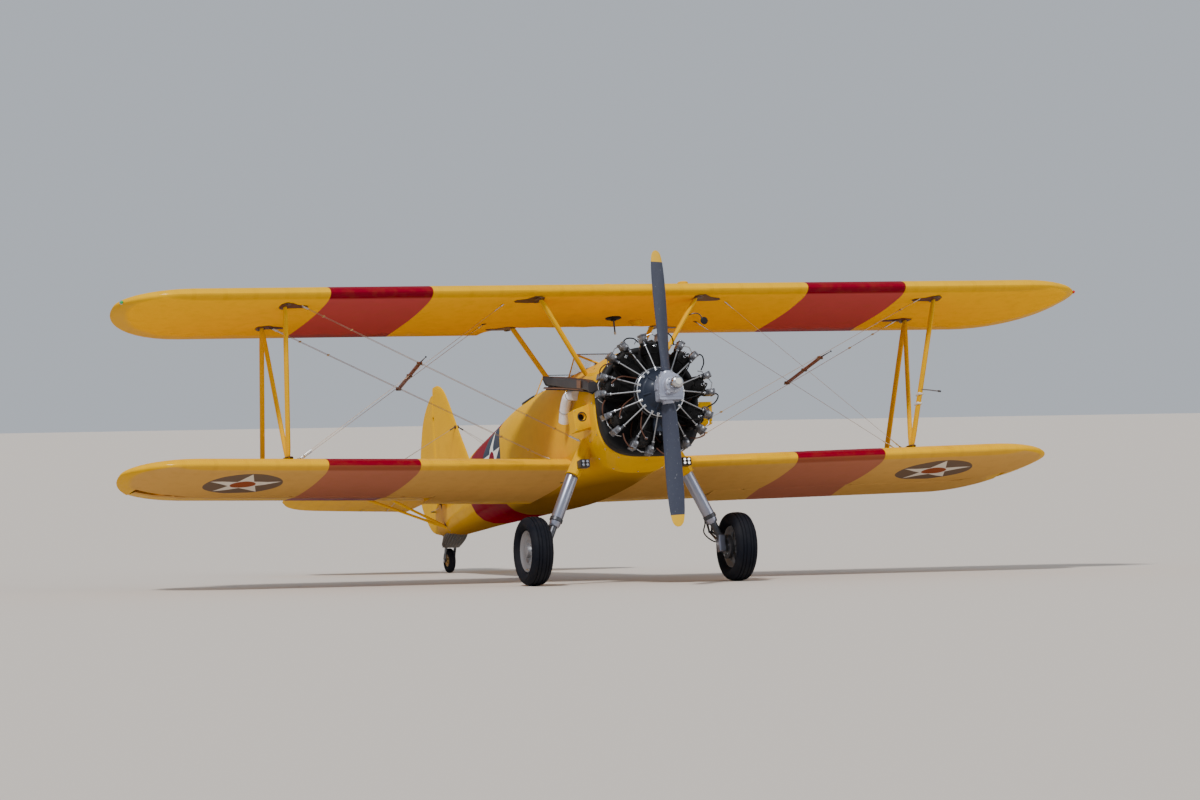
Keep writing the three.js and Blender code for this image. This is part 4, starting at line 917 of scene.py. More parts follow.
# %% Fuselage skin
BODY = table(
    "y half top waist bottom square low",
    (0.645, 0.505, 0.505, 0.0, -0.54, 2.0, 3.3), (0.76, 0.508, 0.52, 0.0, -0.565, 2.05, 3.2),
    (1.0, 0.48, 0.542, -0.02, -0.622, 2.2, 2.8), (1.3, 0.446, 0.535, -0.04, -0.64, 2.4, 2.6),
    (1.7, 0.44, 0.545, -0.06, -0.65, 2.6, 2.6), (2.1, 0.44, 0.556, -0.06, -0.645, 2.7, 2.7),
    (2.7, 0.438, 0.572, -0.06, -0.622, 2.7, 2.7), (3.3, 0.436, 0.572, -0.05, -0.566, 2.7, 2.7),
    (3.7, 0.42, 0.55, -0.045, -0.522, 2.7, 2.7), (4.4, 0.372, 0.485, -0.04, -0.452, 2.6, 2.6),
    (5.2, 0.31, 0.41, -0.03, -0.37, 2.5, 2.5), (6.0, 0.205, 0.29, -0.025, -0.303, 2.3, 2.3),
    (6.4, 0.15, 0.24, -0.03, -0.262, 2.2, 2.2), (6.7755, 0.085, 0.19, -0.02, -0.2, 2.0, 2.0),
)
SKIN_POINTS = 96
STRINGERS = 18
STRINGER_DIP = 0.0045


def smooth_row(rows, key, at):
    """The row at any value of its first column, on a smooth curve through the table."""
    places = [getattr(row, key) for row in rows]
    i = max(0, min(len(rows) - 2, sum(place <= at for place in places) - 1))
    t = (at - places[i]) / (places[i + 1] - places[i])
    made = SimpleNamespace()
    for name in vars(rows[0]):
        values = [getattr(row, name) for row in rows]

        def slope(k):
            low, high = max(k - 1, 0), min(k + 1, len(rows) - 1)
            return (values[high] - values[low]) / (places[high] - places[low])

        span = places[i + 1] - places[i]
        here = (2 * t ** 3 - 3 * t ** 2 + 1) * values[i] + (t ** 3 - 2 * t ** 2 + t) * span * slope(i)
        setattr(made, name,
                here + (3 * t ** 2 - 2 * t ** 3) * values[i + 1] + (t ** 3 - t ** 2) * span * slope(i + 1))
    setattr(made, key, at)
    return made


def body_ring(y, grow=0.0, dip=0.0, points=SKIN_POINTS):
    """The fuselage's section at y, made larger by grow and pulled in by dip between stringers."""
    row = smooth_row(BODY, "y", y)
    ring = []
    for cosine, sine in circle(points):
        power = 2 / (row.square if sine > 0 else row.low)
        reach = row.top - row.waist if sine > 0 else row.waist - row.bottom
        turn = atan2(sine, cosine)
        pull = grow - dip * abs(sin(STRINGERS * turn / 2))
        x = copysign(abs(cosine) ** power, cosine) * (row.half + pull)
        z = row.waist + copysign(abs(sine) ** power, sine) * (reach + pull)
        ring.append(Vector((x, y, z)))
    return ring


def deck_height(x, y):
    """The top of the fuselage skin at x."""
    row = smooth_row(BODY, "y", y)
    share = min(abs(x) / row.half, 1)
    return row.waist + (row.top - row.waist) * (1 - share ** row.square) ** (1 / row.square)


def spread(start, end, step):
    """Even steps from start to end, each as near to step as they divide."""
    count = max(1, round((end - start) / step))
    return [start + (end - start) * k / count for k in range(count + 1)]


rear = Piece("rear_fuselage_skin")
ramp = [(y, STRINGER_DIP * min(1, (y - 3.7) / 0.3) * min(1, max(0, (6.7 - y) / 0.8)))
        for y in spread(3.7, 6.775, 0.08)]
rear.loft([body_ring(y, dip=dip) for y, dip in ramp], "body")
rear.build("yellow_fabric", ["fuselage_rear"])

# %% [markdown]
# ### Two open cockpits
#
# The front of the fuselage is hollow, so it needs a true wall: an outer skin, an inner skin a little
# smaller, and two oval holes through the deck. Cutting is what a boolean does well, so the wall is made
# from simple closed shapes and cut once, when the script runs. A padded leather roll then follows the
# edge of each hole, as it does on the real machine to spare the pilot's arms.

# %% Front fuselage with its cockpits
COCKPITS = table("name start end half seat panel",
                 ("front", 2.08, 2.64, 0.27, 2.6, 2.03),
                 ("rear", 2.96, 3.54, 0.26, 3.49, 2.905))
WALL = 0.024


def mesh_of(piece, name):
    mesh = bpy.data.meshes.new(name)
    mesh.from_pydata([tuple(FLIGHT @ p) for p in piece.points], [], piece.faces)
    tidy_mesh(mesh, False)
    cutter = bpy.data.objects.new(name, mesh)
    bpy.context.scene.collection.objects.link(cutter)
    return cutter


front = Piece("front_fuselage_skin")
front.loft([body_ring(y) for y in spread(1.0, 3.7, 0.07)], "body")
hollow = Piece("hollow")
hollow.loft([body_ring(y, -WALL) for y in spread(1.06, 3.66, 0.13)], "body")
holes = Piece("holes")
for row in COCKPITS:
    middle, long = (row.start + row.end) / 2, (row.end - row.start) / 2
    oval = [Vector((row.half * c, middle + long * s, 0)) for c, s in circle(48)]
    holes.loft([[p + Vector((0, 0, z)) for p in oval] for z in (0.25, 1.05)], "body")
skin = front.build("yellow_fabric", ["fuselage_front"])
cutters = [mesh_of(hollow, "hollow"), mesh_of(holes, "holes")]
for cutter in cutters:
    cutting = skin.modifiers.new(cutter.name, "BOOLEAN")
    cutting.object = cutter
    cutting.operation = "DIFFERENCE"
    cutting.solver = "EXACT"
bpy.context.view_layer.update()
cut_mesh = bpy.data.meshes.new_from_object(skin.evaluated_get(bpy.context.evaluated_depsgraph_get()))
skin.modifiers.clear()
skin.data = cut_mesh
skin.data.materials.clear()
for name in ("body", "cabin_green"):
    skin.data.materials.append(LOOK[name])
for polygon in skin.data.polygons:
    place = FLIGHT.inverted() @ polygon.center
    section = smooth_row(BODY, "y", place.y)
    above = place.z > section.waist
    power = section.square if above else section.low
    tall = section.top - section.waist if above else section.waist - section.bottom
    reach = (abs(place.x / (section.half - WALL / 2)) ** power
             + abs((place.z - section.waist) / (tall - WALL / 2)) ** power)
    polygon.material_index = 1 if reach < 1 and 1.03 < place.y < 3.68 else 0
for cutter in cutters:
    bpy.data.objects.remove(cutter)
print("front skin:", len(skin.data.polygons), "faces")

# %% [markdown]
# ### Coamings
#
# Each cockpit opening has a rolled leather edge over the metal, thicker at the front where a pilot's hands
# rest; here the roll is one thickness all round. It follows the opening's own outline on the skin, so that
# it lies on the body all the way round.

# %% Coamings
ROLL = 0.021
for row in COCKPITS:
    middle, long = (row.start + row.end) / 2, (row.end - row.start) / 2
    roll = Piece(f"cockpit_coaming_{row.name}")
    path = []
    for c, s in circle(64):
        x, y = row.half * c, middle + long * s
        path.append(Vector((x, y, deck_height(x, y) - 0.004)))
    path += path[:2]
    roll.tube(path, ROLL, "black_leather", sides=12, caps=False)
    for i in range(0, 64, 4):
        stitch = Vector(path[i])
        out = (stitch - Vector((0, middle, stitch.z))).normalized() * (ROLL * 0.72)
        roll.tube([stitch + out + Vector((0, 0, 0.01)), stitch + out + Vector((0, 0, 0.016))], 0.004,
                  "brass_fitting", 8)
    roll.build("yellow_fabric")

# %% [markdown]
# ### Nose cowl
#
# Behind the engine the body is sheet metal on formers, held by quick-release fasteners. It is a closed
# skin here, with a rolled front lip that catches the light beside the black exhaust ring.

# %% Nose cowl
cowl = Piece("nose_cowl_skin")
lip = [body_ring(0.6455 + 0.012 * (1 - cos(a)), -0.012 * (1 - sin(a))) for a in (0, 0.5, 1.0, 1.57)]
cowl.loft(lip + [body_ring(y) for y in spread(0.68, 0.9997, 0.05)], "metal")
for y in (0.7, 0.965):
    ring = body_ring(y, 0.0015, points=64)
    for place in ring[::4]:
        outward = Vector((place.x, 0, place.z)).normalized()
        cowl.turned([(0.009, -0.002), (0.009, 0.001), (0.006, 0.002), (0, 0.002)], "bright_steel", place,
                    place + outward, 12)
cowl.build("yellow_metal", ["nose_cowl"])

# %% [markdown]
# ### Windshields
#
# Each cockpit has a low shield of flat panes, a raked one across the front and a three-cornered one along
# each side, held in a painted frame. Flat panes are what a workshop can cut, so each one is a thin plate
# between its corner tubes, and its foot follows the curve of the deck. Where a flat pane meets a curved
# deck has no short formula, so a few rounds of guess and correct find it.

# %% Windshields
SHIELD = SimpleNamespace(foot=0.17, top=0.185, rear=0.238)
SHIELDS = table("foot top rear rise", (1.4, 1.93, 2.025, 0.187), (2.45, 2.875, 3.005, 0.14))
PANE_HALF = Vector((0, 0, 0.0015))


def front_foot(x, at):
    """Where the raked front pane meets the deck at x."""
    base, y = deck_height(0, at.foot), at.foot
    for _ in range(12):
        y = at.foot + (deck_height(x, y) - base) * (at.top - at.foot) / at.rise
    return Vector((x, y, deck_height(x, y) - 0.003))


def side_foot(corner, normal, y):
    """Where a side pane through corner meets the deck at y."""
    x = corner.x
    for _ in range(12):
        rise = normal.y * (y - corner.y) + normal.z * (deck_height(x, y) - corner.z)
        x = corner.x - rise / normal.x
    return Vector((x, y, deck_height(x, y) - 0.003))


for row, at in zip(COCKPITS, SHIELDS):
    shield, bars = Piece(f"windshield_glass_{row.name}"), Piece(f"windshield_frame_{row.name}")
    feet = [front_foot(SHIELD.foot * k / 5, at) for k in range(-5, 6)]
    head_z = deck_height(0, at.foot) + at.rise
    heads = [Vector((side * SHIELD.top, at.top, head_z)) for side in (-1, 1)]
    shield.plate([heads[1], heads[0]] + feet, -PANE_HALF, PANE_HALF, "glass")
    bars.tube(feet, 0.009, "metal", 8)
    bars.tube(heads, 0.005, "dark_steel", 8)
    for side, head, corner in ((-1, heads[0], feet[0]), (1, heads[1], feet[-1])):
        rear_y = at.rear
        rear_foot = Vector((side * SHIELD.rear, rear_y, deck_height(SHIELD.rear, rear_y)))
        normal = (head - corner).cross(rear_foot - corner)
        low = [side_foot(corner, normal, y) for y in spread(corner.y, rear_y, 0.09)]
        shield.plate([head] + low, Vector((-0.0015, 0, 0)), Vector((0.0015, 0, 0)), "glass")
        bars.tube(low, 0.008, "metal", 8)
        bars.tube([head, low[-1]], 0.007, "metal", 8)
        bars.tube([corner, head], 0.011, "metal", 10)
        bars.tube([head + Vector((0, 0, -0.012)), head + Vector((0, 0, 0.012))], 0.012, "bright_steel", 10)
        gusset = [corner, corner.lerp(head, 0.16), corner.lerp(low[-1], 0.1)]
        bars.plate(gusset, Vector((side * 0.006, -0.004, 0)), Vector((side * 0.012, -0.004, 0)),
                   "bolt_brown")
        for foot in low[1::2]:
            bars.turned([(0.006, 0), (0.006, 0.01), (0, 0.012)], "bright_steel",
                        foot + Vector((side * 0.012, 0, 0)), foot + Vector((side * 0.012, 0, 1)), 8)
    shield.build("windshield_glass", [f"windshield_{row.name}"])
    bars.build("yellow_metal")

# %% [markdown]
# ### Inside the cockpits
#
# Each cockpit has a board of instruments, a seat and a set of controls. They are alike, so each is a
# function of the cockpit's row. The board comes first: its edge follows the body's own section, and
# every dial is a bezel, a face, eight marks and a needle.

# %% Instrument boards
BOARD_FOOT = 0.06
DIAL_MIDDLE = 0.27
DIALS = [(-0.2, 0.02, 0.038), (-0.11, 0.045, 0.042), (0, 0.055, 0.048), (0.11, 0.045, 0.042),
         (0.2, 0.02, 0.038), (-0.06, -0.06, 0.034), (0.05, -0.06, 0.034), (0.155, -0.075, 0.026)]
KNOB = [(0.004, 0), (0.004, 0.018), (0.009, 0.02), (0.009, 0.028), (0, 0.03)]


def instrument_board(row):
    """A black panel under the coaming, with round dials and a row of knobs."""
    board = Piece(f"instrument_board_{row.name}")
    edge = [Vector((p.x, row.panel, p.z)) for p in body_ring(row.panel, -WALL - 0.002) if p.z > BOARD_FOOT]
    edge = [Vector((edge[0].x, row.panel, BOARD_FOOT))] + edge + [Vector((edge[-1].x, row.panel,
                                                                          BOARD_FOOT))]
    board.plate(edge, Vector((0, -0.004, 0)), Vector((0, 0.004, 0)), "panel_black")
    for x, z, radius in DIALS:
        face = Vector((x, row.panel + 0.004, DIAL_MIDDLE + z))
        bezel = [(radius, -0.001), (radius, 0.01), (radius * 0.9, 0.013), (radius * 0.86, 0.006),
                 (radius * 0.86, 0.005)]
        board.turned(bezel, "dark_steel", face, face + AFT, 28)
        board.disc(face, face + AFT, radius * 0.88, 0.0045, 0.0055, "panel_black", 28)
        for c, s in circle(8):
            spot = Vector((c, 0, s)) * (radius * 0.74)
            board.block(face + spot + Vector((0, 0.0062, 0)), (0.0025, 0.001, 0.0025), "dial_white")
        lean = 0.7 + x * 9
        needle = Vector((sin(lean), 0, cos(lean))) * (radius * 0.62)
        board.tube([face + Vector((0, 0.0088, 0)), face + needle + Vector((0, 0.0088, 0))], 0.0014,
                   "dial_white", 6)
    for x in (-0.27, -0.24, 0.25, 0.28):
        spot = Vector((x, row.panel + 0.004, 0.17))
        board.turned(KNOB, "bright_steel", spot, spot + AFT, 14)
    board.build("panel_black", [f"instrument_panel_{row.name}"])


print("dials on each board:", len(DIALS))

# %% [markdown]
# ### Seats
#
# A pressed pan with a back, lap belts over it, and two cushions. A cushion is a bag that is full in the
# middle and tied down at its edge, so it is modelled crowned, with a piped seam round it.

# %% Seats and cushions
CABIN_FLOOR = -0.53
SEAT = SimpleNamespace(half=0.205, depth=0.4, pan=-0.15, back=0.33)
SEAT_EDGE = [(-1.0, 1.0), (-0.97, 0.35), (-0.88, 0.06), (-0.6, 0), (0, 0), (0.6, 0), (0.88, 0.06),
             (0.97, 0.35), (1.0, 1.0)]
CUSHION_STEPS = 18


def cushion(name, centre, half_x, half_y, thick, turn, finish):
    """A stuffed pad: tied flat at the seam, full in the middle, with a piped edge."""
    pad = Piece(name)
    pad.place = Matrix.Translation(centre) @ turn
    shares = [2 * i / CUSHION_STEPS - 1 for i in range(CUSHION_STEPS + 1)]
    for full in (thick, -0.25 * thick):
        rows = [[] for _ in shares]
        for row, b in zip(rows, shares):
            for a in shares:
                crown = ((1 - a ** 4) * (1 - b ** 4)) ** 0.42
                tuft = 0.22 * exp(-((a * 2.2) ** 2 + (b * 2.2) ** 2) * 1.6)
                corner = 1 - 0.07 * (a * b) ** 2
                row.append((a * half_x * corner, b * half_y * corner, crown * (1 - tuft) * full))
        pad.loft(rows, finish, caps=False, closed=False)
    pad.hoop([Vector((copysign(abs(a) ** 0.32, a) * half_x * 0.965,
                      copysign(abs(b) ** 0.32, b) * half_y * 0.965, 0)) for a, b in circle(56)], 0.006,
             finish)
    made = pad.build("seat_canvas", welded=True, smooth=60)


def seat_with_cushions(row):
    """A pan on four legs, with belts, a buckle and two cushions."""
    seat, pan, back = row.seat, SEAT.pan, SEAT.back
    shell = Piece(f"seat_pan_{row.name}")
    profile = [(seat - SEAT.depth, pan + 0.012), (seat - SEAT.depth + 0.02, pan), (seat - 0.09, pan - 0.012),
               (seat - 0.03, pan + 0.03), (seat - 0.004, pan + 0.12), (seat, back - 0.03),
               (seat - 0.006, back)]
    rings = []
    for y, z in profile:
        lift, inward = (0.06, 0) if z < pan + 0.1 else (0, 0.07)
        face = [Vector((a * SEAT.half, y - inward * b, z + lift * b)) for a, b in SEAT_EDGE]
        rings.append(face + [p + Vector((0, 0.008 if inward else 0, -0.008 if lift else 0))
                             for p in reversed(face)])
    shell.loft(rings, "cabin_green")
    for x in (-0.07, 0.07):
        shell.tube([(x, seat - 0.26, pan - 0.005), (x, seat - 0.24, CABIN_FLOOR)], 0.014, "cabin_green")
        shell.tube([(x, seat - 0.12, pan - 0.012), (x, seat - 0.14, CABIN_FLOOR)], 0.014, "cabin_green")
    for side in (-1, 1):
        lap = [(0.205, seat - 0.1, pan + 0.05), (0.17, seat - 0.16, pan + 0.075),
               (0.1, seat - 0.21, pan + 0.078), (0.03, seat - 0.22, pan + 0.076)]
        shoulder = [(0.09, seat - 0.035, back + 0.004), (0.085, seat - 0.075, back - 0.06),
                    (0.075, seat - 0.085, back - 0.2)]
        shell.tube([on_side(side, p) for p in lap], 0.022, "belt_webbing", 10, flat=0.12)
        shell.tube([on_side(side, p) for p in shoulder], 0.021, "belt_webbing", 10, flat=0.12)
    shell.block((0, seat - 0.22, pan + 0.08), (0.06, 0.045, 0.01), "bright_steel")
    shell.build("seat_canvas", [f"seat_{row.name}"])
    cushion(f"seat_cushion_{row.name}", Vector((0, seat - 0.215, pan + 0.016)), 0.185, 0.165, 0.046,
            Matrix.Identity(4), "seat_canvas")
    cushion(f"back_cushion_{row.name}", Vector((0, seat - 0.022, pan + 0.27)), 0.17, 0.165, 0.034,
            Matrix.Rotation(radians(90), 4, "X"), "black_leather")


print("seats reach from", SEAT.pan, "to", SEAT.back)

# %% [markdown]
# ### Controls
#
# A stick between the knees, pedals on a cross tube, and a throttle and a mixture lever at the left hand.
# Then both cockpits are fitted out, the front one first.

# %% Controls, and both cockpits
def cockpit_controls(row):
    """Stick, pedals, side tubes and two levers."""
    controls = Piece(f"cockpit_controls_{row.name}")
    stick = row.seat - 0.5
    controls.tube([(0, stick + 0.04, CABIN_FLOOR), (0, stick + 0.02, -0.2), (0, stick + 0.05, 0.02),
                   (0, stick + 0.07, 0.06)], 0.012, "dark_steel")
    controls.tube([(0, stick + 0.066, 0.05), (0, stick + 0.08, 0.1), (0, stick + 0.085, 0.15)],
                  [0.015, 0.018, 0.014], "black_rubber")
    controls.tube([(-0.38, stick, -0.5), (0.38, stick, -0.5)], 0.012, "cabin_green")
    for side in (-1, 1):
        pedal = [(0.13, stick - 0.3, -0.44), (0.13, stick - 0.3, -0.3), (0.05, stick - 0.3, -0.3)]
        controls.tube([on_side(side, p) for p in pedal], 0.009, "dark_steel")
        rail = [(0.395, row.start - 0.2, 0.1), (0.385, row.end + 0.12, 0.08)]
        controls.tube([on_side(side, p) for p in rail], 0.013, "cabin_green")
    controls.block((0.345, stick + 0.12, 0.12), (0.02, 0.17, 0.055), "dark_steel")
    for k, reach in enumerate((0.085, 0.07)):
        foot = Vector((0.332, stick + 0.08 + 0.05 * k, 0.14))
        tip = foot + Vector((-0.006, -0.02, reach))
        controls.tube([foot, tip], 0.004, "bright_steel", 8)
        controls.turned([(0, -0.01), (0.01, -0.006), (0.01, 0.006), (0, 0.01)],
                        "lamp_red" if k else "panel_black", tip, tip + UP, 14)
    controls.build("stay_steel")


for row in COCKPITS:
    instrument_board(row)
    seat_with_cushions(row)
    cockpit_controls(row)

# %% [markdown]
# ## Struts
#
# The struts are drawn steel tube, teardrop in section so that they slip through the air, and pinched at
# both ends into a fork. Each one is a loft of that teardrop along its length. At the wings they stand on
# oval steel plates, bolted to the spars and gone brown with oil and weather.

# %% Strut shapes and fittings
TEARDROP = [(0.5, 0), (0.46, 0.2), (0.36, 0.37), (0.2, 0.48), (0.02, 0.5), (-0.18, 0.42), (-0.36, 0.23),
            (-0.47, 0.07), (-0.5, 0)]
STRUT_ENDS = [(0, 0.42, 0.55), (0.025, 0.55, 0.7), (0.07, 0.85, 0.92), (0.12, 1.0, 1.0), (0.88, 1.0, 1.0),
              (0.93, 0.85, 0.92), (0.975, 0.55, 0.7), (1.0, 0.42, 0.55)]
HOOK_PLATE = [(0.05, -0.06), (0.056, 0), (0.05, 0.05), (-0.02, 0.062), (-0.1, 0.062), (-0.215, 0.054),
              (-0.235, 0.024), (-0.215, -0.004), (-0.12, -0.03), (-0.05, -0.085)]


def strut(piece, foot, top, chord, width, finish, ends=STRUT_ENDS):
    """A teardrop tube from foot to top, its blunt edge forward."""
    foot, top = Vector(foot), Vector(top)
    along = (top - foot).normalized()
    fore = (along * along.y - AFT).normalized()
    out = along.cross(fore)
    outline = TEARDROP + [(a, -b) for a, b in reversed(TEARDROP[1:-1])]
    piece.loft([[foot.lerp(top, share) + fore * (a * chord * small) + out * (b * width * thin) for a,
                 b in outline] for share, small, thin in ends], finish)


def fork_end(piece, at, away, side=(1, 0, 0)):
    """A steel fork with its cross bolt, at the end of a strut."""
    at, away, side = Vector(at), Vector(away), Vector(side)
    along = (away - at).normalized()
    piece.tube([at - along * 0.005, at + along * 0.06], 0.015, "dark_steel", 12)
    bolt = at + along * 0.03
    piece.tube([bolt - side * 0.03, bolt + side * 0.03], 0.007, "bright_steel", 8)
    for end in (-1, 1):
        piece.turned([(0.012, -0.004), (0.012, 0.004)], "bolt_brown", bolt + side * (0.026 * end),
                     bolt + side * end, 6)


def spar_plate(piece, x, y, z, long, wide, tilt=0.0):
    """An oval plate against a wing, with its bolts."""
    outline = [Vector((x + wide * c, y + long * s, z + tilt * long * s)) for c, s in circle(20)]
    piece.plate(outline, Vector((0, 0, -0.004)), Vector((0, 0, 0.004)), "bolt_brown")
    for k in (-0.62, 0.62):
        spot = Vector((x, y + long * k, z + tilt * long * k))
        piece.turned([(0.009, -0.01), (0.009, 0.01)], "dark_steel", spot, spot + UP, 6)


def hook_plate(piece, point, inward, finish="plate_brown"):
    """A pointed plate under the upper wing that spreads a strut's load along the spar."""
    outline = [on_wing(UPPER, point.x + inward * out, point.y + back, -1) for out, back in HOOK_PLATE]
    piece.plate(outline, Vector((0, 0, -0.006)), Vector((0, 0, 0.003)), finish)


def wing_tilt(wing):
    """Rise for each metre aft along a wing's chord."""
    return -tan(radians(wing.incidence))


print("corners in a strut's section:", 2 * len(TEARDROP) - 2)

# %% [markdown]
# ### Struts between the wings
#
# Near each tip an upright, a second one behind it and a slanting one between them make an N. Over the nose
# four short ones carry the centre section. All meet the wings at a fork, an oval plate and a pointed plate.

# %% Struts between the wings
INTERPLANE = {"front_top": (3.319, 1.192, 1.136), "front_foot": (3.196, 1.85, -0.33),
              "rear_top": (3.318, 1.988, 1.056), "rear_foot": (3.216, 2.65, -0.38)}
INTERPLANE_LEGS = [("front_foot", "front_top", 0.092), ("rear_foot", "rear_top", 0.092),
                   ("front_foot", "rear_top", 0.07)]
CABANES = table("name foot top",
                ("front", (0.33, 1.24, 0.36), (0.817, 1.1, 1.136)),
                ("rear", (0.35, 2.154, 0.44), (0.752, 2.178, 1.086)))
for side, hand in SIDES:
    legs = Piece(f"interplane_struts_{hand}_skin")
    ends = {key: on_side(side, value) for key, value in INTERPLANE.items()}
    for foot, top, chord in INTERPLANE_LEGS:
        strut(legs, ends[foot], ends[top], chord, 0.042, "metal")
    for key, point in ends.items():
        spar, end = key.split("_")
        fork_end(legs, point, ends[spar + ("_foot" if end == "top" else "_top")])
        wing, surface, long = (UPPER, -1, 0.105) if end == "top" else (LOWER, 1, 0.085)
        z = on_wing(wing, point.x, point.y, surface).z
        spar_plate(legs, point.x, point.y, z, long, 0.05, wing_tilt(wing))
        if wing is UPPER:
            hook_plate(legs, point, side)
    legs.build("strut_yellow", [f"interplane_struts_{hand}"])

    for row in CABANES:
        leg = Piece(f"cabane_{row.name}_{hand}_skin")
        foot, top = on_side(side, row.foot), on_side(side, row.top)
        strut(leg, foot, top, 0.088, 0.042, "metal")
        fork_end(leg, top, foot, AFT)
        fork_end(leg, foot + (top - foot).normalized() * 0.05, top, AFT)
        z = on_wing(UPPER, top.x, top.y, -1).z
        spar_plate(leg, top.x, top.y, z, 0.095, 0.045, wing_tilt(UPPER))
        hook_plate(leg, top, -side, "bolt_brown")
        leg.build("strut_yellow", [f"cabane_strut_{row.name}_{hand}"])

# %% [markdown]
# ### Airspeed tube and mirror
#
# On the port front strut two pale clamps hold a thin tube that feels the wind ahead of the wing. A small
# round mirror hangs from the port front strut of the centre section, so that one pilot can see the other.

# %% Airspeed tube and mirror
AIRSPEED = [(3.236, 1.66, 0.12), (3.243, 1.6, 0.215), (3.245, 1.54, 0.245), (3.245, 1.14, 0.15)]
PROBE_TIP = [(0.0065, -0.002), (0.01, 0), (0.01, 0.05), (0.0065, 0.054), (0, 0.055)]
probe = Piece("airspeed_tube")
probe.tube(bent(AIRSPEED), 0.0065, "rocker_grey", 10)
probe.turned(PROBE_TIP, "dark_steel", AIRSPEED[-1], (3.245, 1.0, 0.117), 12)
for share in (0.31, 0.37):
    spot = Vector(INTERPLANE["front_foot"]).lerp(Vector(INTERPLANE["front_top"]), share)
    probe.block(spot, (0.054, 0.104, 0.026), "dial_white", chamfer=0.3)
probe.build("lamp")

MIRROR_RADIUS = 0.037
MIRROR_ARM = [(0.702, 1.128, 0.93), (0.77, 1.105, 0.945), (0.815, 1.096, 0.93), (0.835, 1.1, 0.895),
              (0.858, 1.1, 0.871)]
glass = Vector(MIRROR_ARM[-1])
mirror = Piece("cabane_mirror")
mirror.turned([(0, -0.008), (0.02, -0.007), (MIRROR_RADIUS, -0.001), (MIRROR_RADIUS, 0.004), (0, 0.005)],
              "panel_black", glass, glass + AFT, 28)
mirror.disc(glass + Vector((0, 0.0045, 0)), glass + AFT, MIRROR_RADIUS - 0.003, 0, 0.002, "mirror_glass", 28)
mirror.tube(bent(MIRROR_ARM), 0.005, "dark_steel", 8)
mirror.build("lamp")

# %% [markdown]
# ### Wires
#
# Streamlined steel wires cross between the wings. The pairs that carry the load in flight run from the
# body up and out. The ones that carry it on the ground run from the centre section down and out. Where
# the pairs cross, a varnished wooden bar clips them together, so that they do not hum. The real wires
# are flat, a few millimetres across, with a threaded fork at each end and a lock nut that shines.

# %% Wires and spreader bars
WIRE_PAIRS = [
    # from, to, distance between the two wires of the pair
    ((0.4, 1.2, -0.305), (3.27, 1.19, 1.136), 0.026),
    ((0.47, 1.76, -0.4), (3.27, 1.99, 1.056), 0.026),
    ((1.06, 1.19, 1.126), (3.13, 1.85, -0.3), 0),
    ((1.05, 1.95, 1.066), (3.1, 1.9, -0.3), 0),
]
SPREADER = [(2.06, 0.9, 0.512), (2.045, 1.12, 0.503), (1.998, 1.99, 0.41)]
for side, hand in SIDES:
    wires = Piece(f"wires_{hand}")
    for start, end, gap in WIRE_PAIRS:
        start, end = on_side(side, start), on_side(side, end)
        along = (end - start).normalized()
        for shift in (-gap / 2, gap / 2) if gap else (0.0,):
            step = Vector((0, shift, 0))
            wires.tube([start + step, end + step], 0.003, "wire_steel", 8, flat=0.5)
            for at, inward in ((start, along), (end, -along)):
                at = at + step
                wires.tube([at, at + inward * 0.07], 0.0075, "dark_steel", 8)
                wires.tube([at + inward * 0.07, at + inward * 0.2], 0.0055, "bright_steel", 8)
                wires.tube([at + inward * 0.1, at + inward * 0.115], 0.0085, "bright_steel", 6)
        for at, inward in ((start, along), (end, -along)):
            wires.tube([at - inward * 0.05, at + inward * 0.05], 0.02, "bolt_brown", 10, flat=0.35)
            if gap:
                for reach in (0.36, 0.66):
                    clip = at + inward * reach
                    wires.block(clip, (0.016, gap + 0.02, 0.012), "brass_fitting")
    tip, front_end, rear_end = (on_side(side, p) for p in SPREADER)
    along = (rear_end - front_end).normalized()
    for shift in (-0.011, 0.011):
        step = Vector((shift, 0, 0))
        wires.tube([front_end + step, front_end + step + along * 0.03, rear_end + step - along * 0.03,
                    rear_end + step], [0.008, 0.011, 0.011, 0.008], "brown_wood", 10)
    for reach in (0.03, 0.42, 0.84):
        wires.block(front_end + along * reach, (0.052, 0.022, 0.03), "bolt_brown")
    wires.tube([tip, front_end], [0.003, 0.0075], "dark_steel", 8)
    wires.turned([(0, -0.01), (0.009, 0), (0, 0.01)], "dark_steel", tip, front_end, 10)
    wires.build("stay_steel", [f"stays_{hand}"])

# %% [markdown]
# ## The tail
#
# Fin, stabiliser, rudder and elevator are flat frames of steel tube with cloth over them. Each has a
# smooth outline and a thin rounded section, so each is a loft through a table of rows, with the same
# small dips between ribs as the wings. The moving parts have a round nose about their hinge line, and
# each hinge is a short barrel in a notch.

# %% Tail tables and rings
FIN = table(
    "z lead half",
    (0.06, 5.52, 0.03), (0.1, 5.56, 0.03), (0.47, 5.84, 0.029), (0.91, 6.17, 0.025),
    (1.15, 6.345, 0.021), (1.27, 6.455, 0.018), (1.335, 6.56, 0.014), (1.362, 6.65, 0.01),
)
RUDDER = table(
    "z trail half",
    (-0.16, 6.905, 0.02), (-0.1, 7.11, 0.026), (0.06, 7.3, 0.029), (0.26, 7.43, 0.03),
    (0.5, 7.415, 0.028), (0.77, 7.335, 0.026), (1.0, 7.232, 0.023), (1.12, 7.14, 0.021),
    (1.22, 7.01, 0.019), (1.285, 6.89, 0.016),
)
STABILISER = table(
    "x lead half",
    (0, 5.79, 0.027), (1.15, 6.08, 0.026), (1.45, 6.19, 0.023), (1.64, 6.32, 0.018),
    (1.74, 6.44, 0.014), (1.78, 6.53, 0.01),
)
